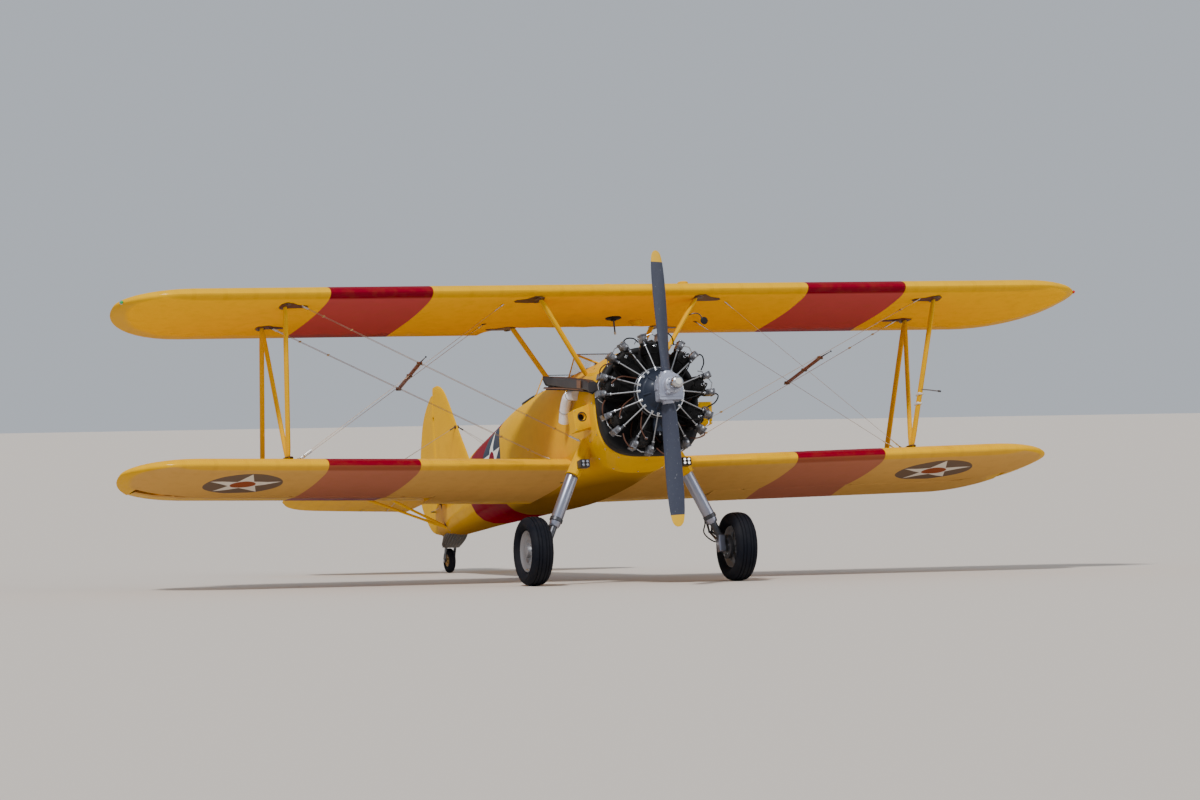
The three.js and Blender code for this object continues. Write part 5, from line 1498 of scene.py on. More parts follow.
ELEVATOR = table(
    "x x_trail trail half",
    (0.12, 0.285, 7.1, 0.027), (1.3, 1.3, 7.0, 0.026), (1.5, 1.5, 6.955, 0.022),
    (1.65, 1.65, 6.86, 0.017), (1.75, 1.75, 6.7, 0.012),
)
RUDDER_HINGE = SimpleNamespace(y=6.8, nose=(0.019, 0.01), at=(0.33, 1.04))
ELEVATOR_HINGE = SimpleNamespace(y=6.58, z=0.2, nose=(0.02, 0.009), at=(0.42, 1.3), rest=-8.0)
FIXED_SHAPE = [(0, 0), (0.006, 0.16), (0.03, 0.34), (0.08, 0.54), (0.16, 0.74), (0.3, 0.9), (0.45, 0.98),
               (0.6, 1.0), (0.8, 0.97), (1.0, 0.92)]
MOVING_SHAPE = [(1.0, 0.1), (0.8, 0.31), (0.55, 0.55), (0.3, 0.78), (0.12, 0.93), (0, 1.0)]
TAIL_RIB = 0.26
TAIL_DIP = 0.0028


def tail_dip(at, share):
    """How far the cloth pulls in between the tail's ribs."""
    return TAIL_DIP * abs(sin(pi * at / TAIL_RIB)) * min(1, 4 * share * (1.02 - share) + 0.05)


def fixed_ring(at, lead, back, half, place):
    """A thin section, rounded ahead and blunt behind."""
    upper = [place(lead + share * (back - lead), max(thick * half - tail_dip(at, share), 0.0008))
             for share, thick in reversed(FIXED_SHAPE)]
    under = [place(lead + share * (back - lead), -max(thick * half - tail_dip(at, share), 0.0008))
             for share, thick in FIXED_SHAPE]
    return upper + under


def moving_ring(at, hinge, trail, half, nose, place, notch=0.0):
    """A section that tapers to its rear edge, with a round nose, or a flat one inside a hinge notch."""
    upper = [place(hinge + max(share * (trail - hinge), notch),
                   thick * half - tail_dip(at, share) * (share > 0)) for share, thick in MOVING_SHAPE]
    arc = [place(hinge - nose * sin(a) if not notch else hinge + notch, half * cos(a))
           for a in (pi * k / 8 for k in range(1, 8))]
    under = [place(hinge + max(share * (trail - hinge), notch),
                   tail_dip(at, share) * (share > 0) - thick * half) for share,
             thick in reversed(MOVING_SHAPE)]
    return upper + arc + under


def hinge_barrels(piece, places, axis, reach):
    """Hinge pins along axis, each with an arm forward to its frame."""
    for spot in places:
        spot = Vector(spot)
        piece.tube([spot - axis * 0.02, spot + axis * 0.02], 0.0088, "dark_steel")
        piece.block(spot - Vector((0, reach / 2, 0)), (0.0096, reach + 0.0096, 0.0096), "dark_steel")


def between_hinges(low, high, places, half=0.0203):
    """Pairs of start, end and whether the stretch is a hinge notch."""
    edges = [low]
    for at in places:
        edges += [at - half, at + half]
    edges.append(high)
    return [(start, end, bool(i % 2)) for i, (start, end) in enumerate(zip(edges, edges[1:]))]

# %% [markdown]
# ### Tail surfaces
#
# The four surfaces are thin rounded lofts from the rings above. The rudder and the
# elevator ride on their own bodies and have a round nose at the hinge, so the slot stays even as they turn.

# %% Fin, rudder, stabiliser and elevator
HINGE_NOTCH = 0.013
HINGE_GAP = 0.006
HINGE_REACH = 0.045
FIN_TOP = [1.05, 1.1, 1.15, 1.2, 1.24, 1.27, 1.295, 1.315, 1.335, 1.35, 1.362]
STABILISER_TIP = [1.5, 1.55, 1.6, 1.64, 1.68, 1.71, 1.74, 1.76, 1.78]


def hinge_nose(hinge, share):
    """The reach of a moving surface ahead of its hinge, less towards the tip."""
    return hinge.nose[0] + share * (hinge.nose[1] - hinge.nose[0])


fin = Piece("fin_skin")
rings = []
for z in spread(0.06, 1.0, 0.045) + FIN_TOP:
    row = smooth_row(FIN, "z", z)
    rings.append(fixed_ring(z, row.lead, RUDDER_HINGE.y - RUDDER_HINGE.nose[0] - HINGE_GAP, row.half,
                            lambda y, off: Vector((off, y, z))))
fin.loft(rings, "tail")
hinge_barrels(fin, [(0, RUDDER_HINGE.y, z) for z in RUDDER_HINGE.at], UP, HINGE_REACH)
fin.build("yellow_fabric", ["fin"])

rudder = Piece("rudder_skin", "rudder")
low, high = RUDDER[0].z, RUDDER[-1].z
for start, end, notch in between_hinges(low, high, RUDDER_HINGE.at):
    rings = []
    for z in spread(start, end, 0.035):
        row = smooth_row(RUDDER, "z", z)
        nose = hinge_nose(RUDDER_HINGE, (z - low) / (high - low))
        rings.append(moving_ring(z, RUDDER_HINGE.y, row.trail, row.half, nose, lambda y,
                                 off: Vector((off, y, z)), HINGE_NOTCH if notch else 0.0))
    rudder.loft(rings, "tail")
for side in (-1, 1):
    rudder.tube([(side * 0.028, 6.83, 0.07), (side * 0.115, 6.815, 0.07)], 0.007, "dark_steel", 8)
rudder.build("yellow_fabric", ["rudder"], welded=True)

hinge_y, hinge_z = ELEVATOR_HINGE.y, ELEVATOR_HINGE.z
for side, hand in SIDES:
    plate = Piece(f"stabiliser_skin_{hand}")
    rings = []
    for x in spread(0.02, 1.45, 0.05) + STABILISER_TIP:
        row = smooth_row(STABILISER, "x", x)
        rings.append(fixed_ring(x, row.lead, hinge_y - ELEVATOR_HINGE.nose[0] - HINGE_GAP, row.half,
                                lambda y, off: Vector((side * x, y, hinge_z + off))))
    plate.loft(rings, "tail")
    hinge_barrels(plate, [(side * x, hinge_y, hinge_z) for x in ELEVATOR_HINGE.at], PORT, HINGE_REACH)
    plate.build("yellow_fabric", [f"stabiliser_{hand}"])

elevator = Piece("elevator_skin", "elevator")
pivot = Vector((0, hinge_y, hinge_z))
turn = Matrix.Rotation(radians(ELEVATOR_HINGE.rest), 4, "X")
elevator.place = Matrix.Translation(pivot) @ turn @ Matrix.Translation(-pivot)
low, high = ELEVATOR[0].x, ELEVATOR[-1].x
for side in (1, -1):
    for start, end, notch in between_hinges(low, high, ELEVATOR_HINGE.at):
        rings = []
        for x in spread(start, end, 0.045 if end < 1.4 else 0.025):
            row = smooth_row(ELEVATOR, "x", x)
            run, outward = row.trail - hinge_y, row.x_trail - row.x

            def place(y, off):
                return Vector((side * (x + max(y - hinge_y, 0) / run * outward), y, hinge_z + off))

            nose = hinge_nose(ELEVATOR_HINGE, (x - low) / (high - low))
            rings.append(moving_ring(x, hinge_y, row.trail, row.half, nose, place,
                                     HINGE_NOTCH if notch else 0.0))
        elevator.loft(rings, "tail")
    for x in (0.33, 0.8):
        trail = smooth_row(ELEVATOR, "x", x).trail
        elevator.tube([(side * x, trail - 0.125, 0.2), (side * x, trail - 0.002, 0.2)], 0.0125, "dark_steel",
                      8, flat=0.16)
    elevator.tube([(side * 0.33, 6.965, 0.2), (side * 0.8, 6.925, 0.2)], 0.0085, "dark_steel", 8)
    elevator.tube([(side * 0.55, 6.95, 0.2), (side * 0.55, 6.95, 0.16), (side * 0.55, 6.6, 0.16)], 0.0028,
                  "wire_steel", 6)
elevator.tube([(-0.2, hinge_y, hinge_z), (0.2, hinge_y, hinge_z)], 0.016, "dark_steel", 16)
elevator.build("yellow_fabric", ["elevator"], welded=True)

# %% [markdown]
# ### Braces under and over the tail
#
# Two painted struts run from the bottom of the fuselage to each half of the stabiliser, and two wires run
# from the fin down to its top. They keep the thin frames square when the tail is loaded.

# %% Tail braces
for side, hand in SIDES:
    braces = Piece(f"tail_struts_{hand}_skin")
    foot = Vector((side * 0.07, 6.33, -0.205))
    for y in (6.08, 6.48):
        end = Vector((side * 1.01, y, 0.19))
        strut(braces, foot, end, 0.048, 0.024, "metal")
        braces.tube([end - (end - foot).normalized() * 0.05, end], 0.01, "bolt_brown", 8)
        spar_plate(braces, end.x, y, 0.178, 0.035, 0.022)
    braces.tube([foot - Vector((side * 0.02, 0.05, 0)), foot + Vector((side * 0.01, 0.05, 0))], 0.016,
                "bolt_brown", 10)
    braces.build("strut_yellow", [f"tail_struts_{hand}"])
    wire = Piece(f"tail_wires_{hand}")
    top = Vector((side * 0.02, 6.138, 0.828))
    for y, x in ((6.2, 1.08), (6.45, 1.06)):
        foot = Vector((side * x, y, 0.222))
        wire.tube([top, foot], 0.0026, "wire_steel", 6, flat=0.6)
        wire.tube([foot, foot + (top - foot).normalized() * 0.11], 0.0055, "bright_steel", 8)
        wire.tube([top, top + (foot - top).normalized() * 0.06], 0.006, "dark_steel", 8)
        wire.turned([(0.013, -0.006), (0.013, 0.003), (0.006, 0.006)], "bolt_brown", foot, foot + UP, 10)
    wire.turned([(0.018, -0.02), (0.018, 0), (0.01, 0.006)], "bolt_brown", top, top + Vector((side, 0, 0)),
                12)
    wire.tube([(side * 0.115, 6.5, 0.06), (side * 0.115, 6.815, 0.07)], 0.0022, "wire_steel", 6)
    wire.build("stay_steel")
rod = Piece("control_rod")
rod.tube([(-0.15, 6.365, 0.061), (-0.145, 6.29, -0.16), (-0.1, 6.26, -0.23)], 0.009, "dark_steel")
rod.tube([(-0.165, 6.36, 0.075), (-0.12, 6.37, 0.055)], 0.014, "bolt_brown")
rod.build("stay_steel")

# %% [markdown]
# ## The radial engine
#
# Nine air-cooled cylinders stand round one crankcase. Everything that repeats nine times is modelled once
# in the cylinder's own frame, z outward, and placed nine times by a turn. Thin fins carry the heat away,
# so they are real turned discs here, because light falling between them is what makes the engine look
# open. In front run eighteen pushrod tubes, and the sparking-plug leads loop over between the heads.

# %% Engine case
CYLINDERS = 9
CYLINDER_Y = 0.35
NOSE_CASE = [(0, 0.0801), (0.058, 0.0801), (0.062, 0.088), (0.07, 0.094), (0.1, 0.104), (0.132, 0.122),
             (0.158, 0.145), (0.172, 0.16), (0.178, 0.166), (0.196, 0.17), (0.225, 0.173), (0.227, 0.178),
             (0.227, 0.192), (0.222, 0.197), (0.206, 0.2), (0.205, 0.214), (0.205, 0.245), (0.2, 0.25),
             (0.2, 0.452), (0.19, 0.462), (0.16, 0.478), (0.15, 0.482), (0.15, 0.64), (0, 0.64)]


def around(count, start=0.0):
    """Turns about the thrust line, as matrices."""
    return [Matrix.Rotation(radians(start) + 2 * pi * i / count, 4, "Y") for i in range(count)]


case = Piece("engine_case")
case.turned(NOSE_CASE, "case_blue", (0, 0, 0), (0, 1, 0), 72)
for turn in around(18, 10.0):
    case.place = turn
    case.turned([(0.0085, 0), (0.0085, 0.007), (0.005, 0.009), (0, 0.009)], "bright_steel",
                (0, 0.172, 0.214), (0, 0.1, 0.214), 6)
for turn in around(12):
    case.place = turn
    case.bolt((0, 0.096, 0.084), (0, 0, 0.084), 0.007, 0.006, 0.002)
for turn in around(6, 20.0):
    case.place = turn
    case.tube([(0, 0.12, 0.12), (0, 0.165, 0.182)], 0.012, "case_blue", 10)
case.place = Matrix.Identity(4)
case.tube([(0.232 * c, 0.186, 0.232 * s) for c, s in circle(72)] + [(0.232, 0.186, 0), (0.231, 0.186, 0.02)],
          0.0095, "bright_steel", 10, caps=False)
sump = [(-0.055, -0.19), (0.055, -0.19), (0.075, -0.3), (0.06, -0.365), (-0.06, -0.365), (-0.075, -0.3)]
case.plate([Vector((x, 0.0, z)) for x, z in sump], Vector((0, 0.235, 0)), Vector((0, 0.44, 0)), "case_blue")
case.turned([(0.016, 0), (0.016, 0.03), (0.011, 0.035), (0, 0.035)], "bright_steel", (0, 0.3, -0.36),
            (0, 0.3, -1), 6)
for x in (-0.07, 0.07):
    case.turned([(0.05, 0), (0.05, 0.09), (0.04, 0.11), (0, 0.112)], "black_iron", (x, 0.485, 0.1),
                (x, 1.0, 0.1), 28)
case.build("engine_metal")

# %% [markdown]
# ### Cylinders
#
# One cylinder is a stack of thin cooling fins on a barrel with a finned head. It is drawn nine times round
# the shaft. The fins are separate rings with gaps, since dark gaps are what make an air-cooled engine read.

# %% Cylinders
BARREL_FINS = [0.232 + 0.0085 * i for i in range(18)]
HEAD_FINS = [0.392 + 0.0105 * i for i in range(10)]
barrels = Piece("engine_cylinders")
heads = Piece("engine_heads")
for turn in around(CYLINDERS):
    barrels.place = heads.place = turn
    base, out = Vector((0, CYLINDER_Y, 0)), Vector((0, CYLINDER_Y, 1))
    profile = [(0, 0.16), (0.088, 0.16), (0.088, 0.214), (0.07, 0.218)]
    for z in BARREL_FINS:
        profile += [(0.068, z), (0.0845, z + 0.001), (0.0845, z + 0.0028), (0.068, z + 0.0038)]
    profile += [(0.07, 0.388), (0, 0.388)]
    barrels.turned(profile, "fin_black", base, out, 26)
    for k in range(8):
        spot = base + Vector((0.08 * cos(k * 0.785), 0.08 * sin(k * 0.785), 0.213))
        barrels.bolt(spot, spot + UP, 0.007, 0.01, 0.002)
    profile = [(0, 0.38), (0.076, 0.38)]
    for k, z in enumerate(HEAD_FINS):
        wide = 0.099 - 0.0012 * max(0, k - 5) ** 2
        profile += [(0.074, z), (wide, z + 0.0012), (wide, z + 0.0034), (0.074, z + 0.0046)]
    profile += [(0.06, 0.505), (0.03, 0.517), (0, 0.52)]
    heads.turned(profile, "fin_black", base, out, 30)
    for k in (-2, -1, 0, 1, 2):
        heads.block(base + Vector((0.016 * k, 0, 0.512 - 0.003 * k * k)), (0.003, 0.12 - 0.012 * k * k,
                                                                           0.032), "fin_black")
barrels.build("engine_metal", ["engine"])
heads.build("engine_metal")

# %% [markdown]
# ### Rocker boxes and pushrod tubes
#
# Two rocker boxes cap each head, and a thin tube runs from each to the crankcase. The tubes are the lightest
# lines on the engine, and from a step away they look like the spokes of a wheel.

# %% Rocker boxes and pushrod tubes
ROCKER_LEAN = 9.0
PUSHROD_INNER, PUSHROD_OUTER = table("radius y turn", (0.215, 0.178, 8.0), (0.52, 0.285, 10.0))
rockers = Piece("engine_rocker_boxes")
rods = Piece("engine_pushrod_tubes")
for turn in around(CYLINDERS):
    rockers.place = rods.place = turn
    for side in (-1, 1):
        lean = Matrix.Rotation(radians(ROCKER_LEAN * side), 3, "Y")
        middle = Vector((side * 0.08, CYLINDER_Y - 0.022, 0.535))
        ahead = middle + Vector((0, -1, -0.004))
        rockers.block(middle, (0.056, 0.112, 0.078), "rocker_grey", lean, chamfer=0.34)
        rockers.block(middle + lean @ Vector((0, 0, 0.04)), (0.062, 0.116, 0.009), "rocker_grey", lean,
                      chamfer=0.34)
        rockers.turned([(0.026, -0.004), (0.026, 0.012), (0.018, 0.02), (0, 0.022)], "rocker_grey",
                       middle + Vector((0, -0.056, -0.004)), ahead, 20)
        rockers.bolt(middle + Vector((0, -0.076, -0.004)), ahead, 0.012, 0.01, 0.002)
        for x in (-0.022, 0.022):
            for y in (-0.04, 0.04):
                spot = middle + lean @ Vector((x, y, 0.044))
                rockers.bolt(spot, spot + lean @ UP, 0.005, 0.006)
        rockers.tube([middle + Vector((0, 0.02, -0.03)), (side * 0.045, CYLINDER_Y + 0.01, 0.44)], 0.03,
                     "fin_black", 16)
        start, end = (Vector((row.radius * sin(radians(side * row.turn)), row.y,
                              row.radius * cos(radians(side * row.turn))))
                      for row in (PUSHROD_INNER, PUSHROD_OUTER))
        along = (end - start).normalized()
        rods.tube([start, end], 0.007, "cast_alloy", 14)
        rods.tube([start - along * 0.012, start + along * 0.026], 0.0145, "bright_steel", 12)
        rods.tube([end - along * 0.05, end + along * 0.004], 0.015, "dark_steel", 12)
        rods.tube([end - along * 0.058, end - along * 0.048], 0.0175, "bright_steel", 12)
    rockers.tube([(x, CYLINDER_Y - y, z) for x, y, z in ((-0.055, 0.03, 0.565), (0, 0.045, 0.585),
                                                         (0.055, 0.03, 0.565))], 0.0055, "bright_steel", 8)
rockers.build("engine_metal")
rods.build("stay_steel")

# %% [markdown]
# ### Intake pipes, plugs and leads
#
# Behind the cylinders an induction pipe curves from the case to each head, and a short stub carries the
# exhaust back to the collector. Each head has a plug in front and one behind, fed by braided leads from a
# ring, and small oil lines join the rocker boxes. They differ a little from one another, as hand-bent
# parts do, so a seeded draw shifts each one.

# %% Pipes, plugs and leads
draw = random.Random(7)
pipes = Piece("engine_intake_pipes")
leads = Piece("engine_leads")
for number, turn in enumerate(around(CYLINDERS)):
    pipes.place = leads.place = turn
    shift = draw.uniform(-0.012, 0.012)
    pipes.tube(bent([(-0.055, 0.455, 0.17), (-0.068, 0.47, 0.27), (-0.072, 0.462, 0.38),
                     (-0.066, 0.43, 0.455)]), 0.026, "black_iron", 16)
    pipes.tube(bent([(0.06, 0.395, 0.445), (0.066, 0.45, 0.47), (0.064, 0.512, 0.47)]), 0.028, "soot", 16)
    pipes.turned([(0.036, 0), (0.036, 0.01)], "black_iron", (0.064, 0.49, 0.47), (0.064, 1.0, 0.47), 16)
    for back, start in ((False, CYLINDER_Y - 0.088), (True, CYLINDER_Y + 0.088)):
        way = 1 if back else -1
        plug = Vector((0.004, start, 0.455))
        ahead = plug + Vector((0, way, 0.25))
        leads.turned([(0.013, 0), (0.013, 0.012), (0.009, 0.014), (0.009, 0.034), (0.011, 0.036),
                      (0.011, 0.05), (0, 0.052)], "bright_steel", plug, ahead, 6)
        tip = plug + (ahead - plug).normalized() * 0.05
        ring = Vector((0.105 + shift, 0.245 if not back else 0.5, 0.215))
        over = Vector((0.09 + shift, tip.y + way * 0.006, 0.395))
        leads.tube(bent([tip, tip + Vector((0.014, way * 0.02, 0.016)), over, ring + Vector((0, 0, 0.04)),
                         ring]), 0.006, "lead_orange" if number in (5, 6, 7) or back else "black_rubber", 8)
    side = 0.092
    leads.tube(bent([(side, CYLINDER_Y - 0.05, 0.575), (side + 0.045, CYLINDER_Y - 0.09, 0.59 + shift),
                     (side + 0.1, CYLINDER_Y - 0.085, 0.545 + shift), (side + 0.125, CYLINDER_Y - 0.05,
                                                                       0.475)]), 0.0065,
               "black_rubber" if number in (0, 1, 2, 8) else "lead_orange", 8)
    leads.bolt((side, CYLINDER_Y - 0.05, 0.57), (side, CYLINDER_Y - 0.05, 1.0), 0.01, 0.016, 0.002,
               "brass_fitting")
    leads.tube(bent([(-0.085, CYLINDER_Y + 0.03, 0.56), (-0.125, CYLINDER_Y + 0.02, 0.545 + shift),
                     (-0.15, CYLINDER_Y + 0.03, 0.5)]), 0.005, "bright_steel", 8)
leads.place = pipes.place = Matrix.Identity(4)
leads.tube([(0.238 * c, 0.245, 0.238 * s) for c, s in circle(60)] + [(0.238, 0.245, 0),
                                                                     (0.237, 0.245, 0.025)], 0.012,
           "dark_steel", 10, caps=False)
pipes.turned([(0, 0.47), (0.215, 0.47), (0.235, 0.485), (0.235, 0.505), (0.2, 0.53), (0, 0.535)],
             "black_iron", (0, 0, 0), (0, 1, 0), 48)
pipes.build("engine_metal")
leads.build("engine_metal")

# %% [markdown]
# ### Exhaust collector
#
# A black ring gathers the exhaust just behind the cylinders. Its outline is the cowl's own, a rounded
# square below and nearly round above, rolled in at both edges, with a plate that closes the body behind.

# %% Exhaust collector
COLLECTOR_HOLE = 0.44
rolled = [(COLLECTOR_HOLE, 0.535, False), (COLLECTOR_HOLE, 0.52, False), (-0.052, 0.508, True),
          (-0.035, 0.505, True), (-0.016, 0.509, True), (-0.004, 0.52, True), (0, 0.536, True),
          (0, 0.61, True), (-0.005, 0.628, True), (-0.016, 0.637, True), (-0.04, 0.64, True)]
rings = []
for size, y, outer in rolled:
    if outer:
        rings.append([Vector((p.x, y, p.z)) for p in body_ring(0.645, size)])
    else:
        rings.append([Vector((size * c, y, size * s)) for c, s in circle(SKIN_POINTS)])
collector = Piece("exhaust_ring")
collector.loft(rings, "soot")
for turn in around(CYLINDERS, 7.7):
    collector.place = turn
    collector.turned([(0.036, -0.02), (0.036, 0.004)], "soot", (0, 0.52, 0.452), (0, 0.0, 0.452), 20)
collector.place = Matrix.Identity(4)
collector.build("collector_black", ["exhaust_collector"])

# %% [markdown]
# ## The propeller
#
# Two metal blades are clamped in a steel hub. A square block holds the sleeves of both blades, with a
# pitch-change cylinder in front and a counterweight on each side. It stands upright, as in the picture,
# and rides on the body that the propeller's joint turns.

# %% Hub
HUB_TURNINGS = [
    # finish, sides, then radius and distance ahead of the propeller's centre
    ("hub_grey", 48,
     [(0, -0.0799), (0.04, -0.0799), (0.04, -0.066), (0.09, -0.062), (0.096, -0.056), (0.096, 0.03),
      (0.094, 0.06), (0.088, 0.085), (0.086, 0.11), (0.07, 0.125), (0.062, 0.135), (0, 0.135)]),
    ("hub_grey", 40,
     [(0, 0.12), (0.082, 0.12), (0.084, 0.128), (0.084, 0.176), (0.08, 0.186), (0.06, 0.196), (0, 0.196)]),
    ("bright_steel", 40,
     [(0, 0.19), (0.056, 0.19), (0.058, 0.2), (0.058, 0.286), (0.055, 0.3), (0.05, 0.312), (0.036, 0.322),
      (0, 0.322)]),
    ("dial_white", 32, [(0, 0.318), (0.03, 0.318), (0.031, 0.326), (0.027, 0.331), (0, 0.332)]),
]
CLAMP_FACE = [(-0.108, -0.13), (0.108, -0.13), (0.118, -0.12), (0.118, 0.03), (0.108, 0.074), (0.082, 0.106),
              (0.042, 0.124), (0, 0.13), (-0.042, 0.124), (-0.082, 0.106), (-0.108, 0.074), (-0.118, 0.03),
              (-0.118, -0.12)]
SLEEVE = [(0, 0.06), (0.05, 0.06), (0.07, 0.07), (0.072, 0.08), (0.072, 0.122), (0.068, 0.13),
          (0.058, 0.134), (0.056, 0.15), (0.052, 0.1585), (0, 0.1585)]
WEIGHT_ARM = [(0.07, 0.02, 0.028), (0.122, 0.02, 0.034), (0.128, 0.02, -0.02), (0.1, 0.02, -0.04),
              (0.07, 0.02, -0.03)]
hub = Piece("propeller_hub_skin", "propeller")
for finish, sides, profile in HUB_TURNINGS:
    hub.turned(profile, finish, (0, 0, 0), (0, -1, 0), sides)
for turn in around(8):
    hub.place = turn
    hub.bolt((0, -0.194, 0.07), (0, -1, 0.07), 0.006, 0.008)
hub.place = Matrix.Identity(4)
hub.plate([Vector((x, 0, z)) for x, z in CLAMP_FACE], Vector((0, -0.106, 0)), Vector((0, 0.02, 0)),
          "hub_grey")
hub.plate([Vector((x * 0.97, 0, -0.088 + z * 0.1)) for x, z in CLAMP_FACE], Vector((0, -0.114, 0)),
          Vector((0, -0.1, 0)), "hub_grey")
for side in (-1, 1):
    hub.turned(SLEEVE, "hub_grey", (0, 0, 0), (0, 0, side), 40)
    for x in (-0.079, 0.079):
        for y in (-0.036, 0.036):
            hub.turned([(0.009, -0.026), (0.009, 0.026)], "bright_steel", (x, y, side * 0.098),
                       (x, y, side * 0.098 + side), 6)
    hub.plate([on_side(side, p) for p in WEIGHT_ARM], Vector((0, -0.078, 0)), Vector((0, -0.012, 0)),
              "hub_grey")
    hub.turned([(0, -0.008), (0.018, -0.008), (0.018, 0.01), (0, 0.012)], "bright_steel",
               (side * 0.102, -0.058, 0), (side * 0.102, -1.0, 0), 16)
hub.turned([(0, 0), (0.018, 0), (0.018, 0.05), (0.014, 0.062), (0, 0.064)], "hub_grey",
           (-0.052, -0.12, -0.072), (-0.052, -1.0, -0.072), 20)
hub.build("hub_silver", ["propeller_hub"], bevel=0.0008)

# %% [markdown]
# ### Blades
#
# A table gives chord, thickness and angle at ten places along a blade. A smooth curve through its columns
# gives the sections between them, and the second blade is the first one turned half a circle.

# %% Blades
BLADE = table(
    "r chord thick pitch",
    (0.16, 0.136, 0.076, 45), (0.24, 0.15, 0.06, 41), (0.38, 0.156, 0.04, 34), (0.56, 0.158, 0.029, 28),
    (0.78, 0.162, 0.022, 23), (1.0, 0.158, 0.016, 19), (1.18, 0.14, 0.012, 17), (1.28, 0.106, 0.009, 16),
    (1.315, 0.062, 0.006, 16), (1.326, 0.022, 0.004, 16),
)
for name, way in (("upper", 0), ("lower", pi)):
    blade = Piece(f"propeller_blade_{name}_skin", "propeller")
    blade.place = Matrix.Rotation(way, 4, "Y")
    rings = []
    for r in spread(0.16, 1.28, 0.03) + [1.292, 1.304, 1.315, 1.322, 1.326]:
        row = smooth_row(BLADE, "r", r)
        pitch = radians(row.pitch)
        blunt = 1.0 if r < 0.24 else 1.35
        ring = []
        for a, b in circle(36):
            along, off = row.chord / 2 * a, row.thick / 2 * copysign(abs(b) ** blunt, b)
            ring.append(Vector((along * cos(pitch) - off * sin(pitch),
                                along * sin(pitch) + off * cos(pitch), r)))
        rings.append(ring)
    blade.loft(rings, "blade")
    blade.build("blade_grey", [f"propeller_blade_{name}"])

# %% [markdown]
# ## Duct and pipe on the nose
#
# On the starboard side a grey duct runs back along the cowl and ends in a slanted dark mouth. Below it a
# bright pipe curves down. The duct's mouth is a real hole, because its dark inside is what is seen.

# %% Duct and pipe
DUCT = [(-0.535, 0.556, 0.128, 0.047, 0.048), (-0.534, 0.64, 0.164, 0.046, 0.05),
        (-0.53, 0.76, 0.196, 0.045, 0.05), (-0.51, 1.3, 0.32, 0.045, 0.052),
        (-0.5, 1.93, 0.452, 0.046, 0.054)]
duct = Piece("exhaust_duct_skin")


def duct_ring(x, y, z, half, tall, slant=0.0):
    """The duct's rounded square section. slant sets its upper edge back or ahead."""
    return [Vector((x + half * copysign(abs(c) ** 0.35, c), y - slant * copysign(abs(s) ** 0.35, s),
                    z + tall * copysign(abs(s) ** 0.35, s))) for c, s in circle(32)]


MOUTH_SLANT = 0.07
outer = [duct_ring(*row) for row in DUCT[:-1]] + [duct_ring(x, y - MOUTH_SLANT, z, half, tall,
                                                            slant=-MOUTH_SLANT) for x, y, z, half,
                                                  tall in DUCT[-1:]]
x, y, z, half, tall = DUCT[-1]
inner = [duct_ring(x, y - MOUTH_SLANT - 0.001, z, half - 0.007, tall - 0.007, slant=-MOUTH_SLANT),
         duct_ring(x, y - 0.3, z - 0.066, half - 0.009, tall - 0.009)]
duct.loft(outer + inner, "duct_grey")
# An orange-brown stripe runs along the duct's lower outboard edge, and an orange-brown patch lies on its
# outboard face.
duct.tube([(x - 0.03, y, z - tall - 0.001) for x, y, z, half, tall in DUCT[2:]], 0.012, "heat_brown", 10,
          flat=0.5)
duct.tube([(x + 0.004, y, z - tall - 0.003) for x, y, z, half, tall in DUCT], 0.026, "soot", 12, flat=0.3)
duct.tube([(x - 0.03, y, z + tall - 0.001) for x, y, z, half, tall in DUCT], 0.0065, "lead_orange", 8)
duct.block((-0.585, 0.8, 0.205), (0.012, 0.1, 0.075), "heat_brown", Matrix.Rotation(0.22, 3, "X"),
           chamfer=0.2)
duct.build("duct_grey", ["exhaust_duct"])
mouth = Piece("exhaust_duct_inside")
mouth.loft([duct_ring(x, y - 0.02, z - 0.004, half - 0.0085, tall - 0.0085, slant=-0.04),
            duct_ring(x, y - 0.29, z - 0.064, half - 0.011, tall - 0.011)], "soot")
mouth.build("collector_black")

PIPE_RADIUS = 0.05
bend = bent([(-0.44, 1.29, 0.195), (-0.495, 1.35, 0.2), (-0.502, 1.42, 0.15), (-0.5, 1.49, 0.075),
             (-0.494, 1.555, -0.02)], 8)
pipe = Piece("bright_pipe")
side = PORT
ahead = [(bend[min(i + 1, len(bend) - 1)] - bend[max(i - 1, 0)]).normalized() for i in range(len(bend))]
across = [a.cross(side).normalized() for a in ahead]


def pipe_ring(k, radius):
    return [bend[k] + side * (radius * c) + across[k] * (radius * s) for c, s in circle(32)]


outer = [pipe_ring(k, PIPE_RADIUS) for k in range(len(bend))]
inner = [pipe_ring(k, PIPE_RADIUS - 0.005) for k in reversed(range(len(bend)))]
pipe.loft(outer + inner[:14], "pipe_white")
pipe.turned([(0, 0), (PIPE_RADIUS - 0.006, 0), (PIPE_RADIUS - 0.006, 0.004), (0, 0.004)], "soot", bend[-6],
            bend[-1], 24)
for k in (6, 24):
    ring = pipe_ring(k, PIPE_RADIUS + 0.0015)
    pipe.tube(ring + ring[:2], 0.004, "bright_steel", 8, caps=False)
pipe.build("pipe_silver", ["exhaust_pipe"])

# %% [markdown]
# ### Square boxes
#
# Each box is folded sheet with a round inlet in its face. The face isn't quite square to anything, so it
# is given by its corners, and a ray from the inlet's middle finds how far the edge is in each direction.

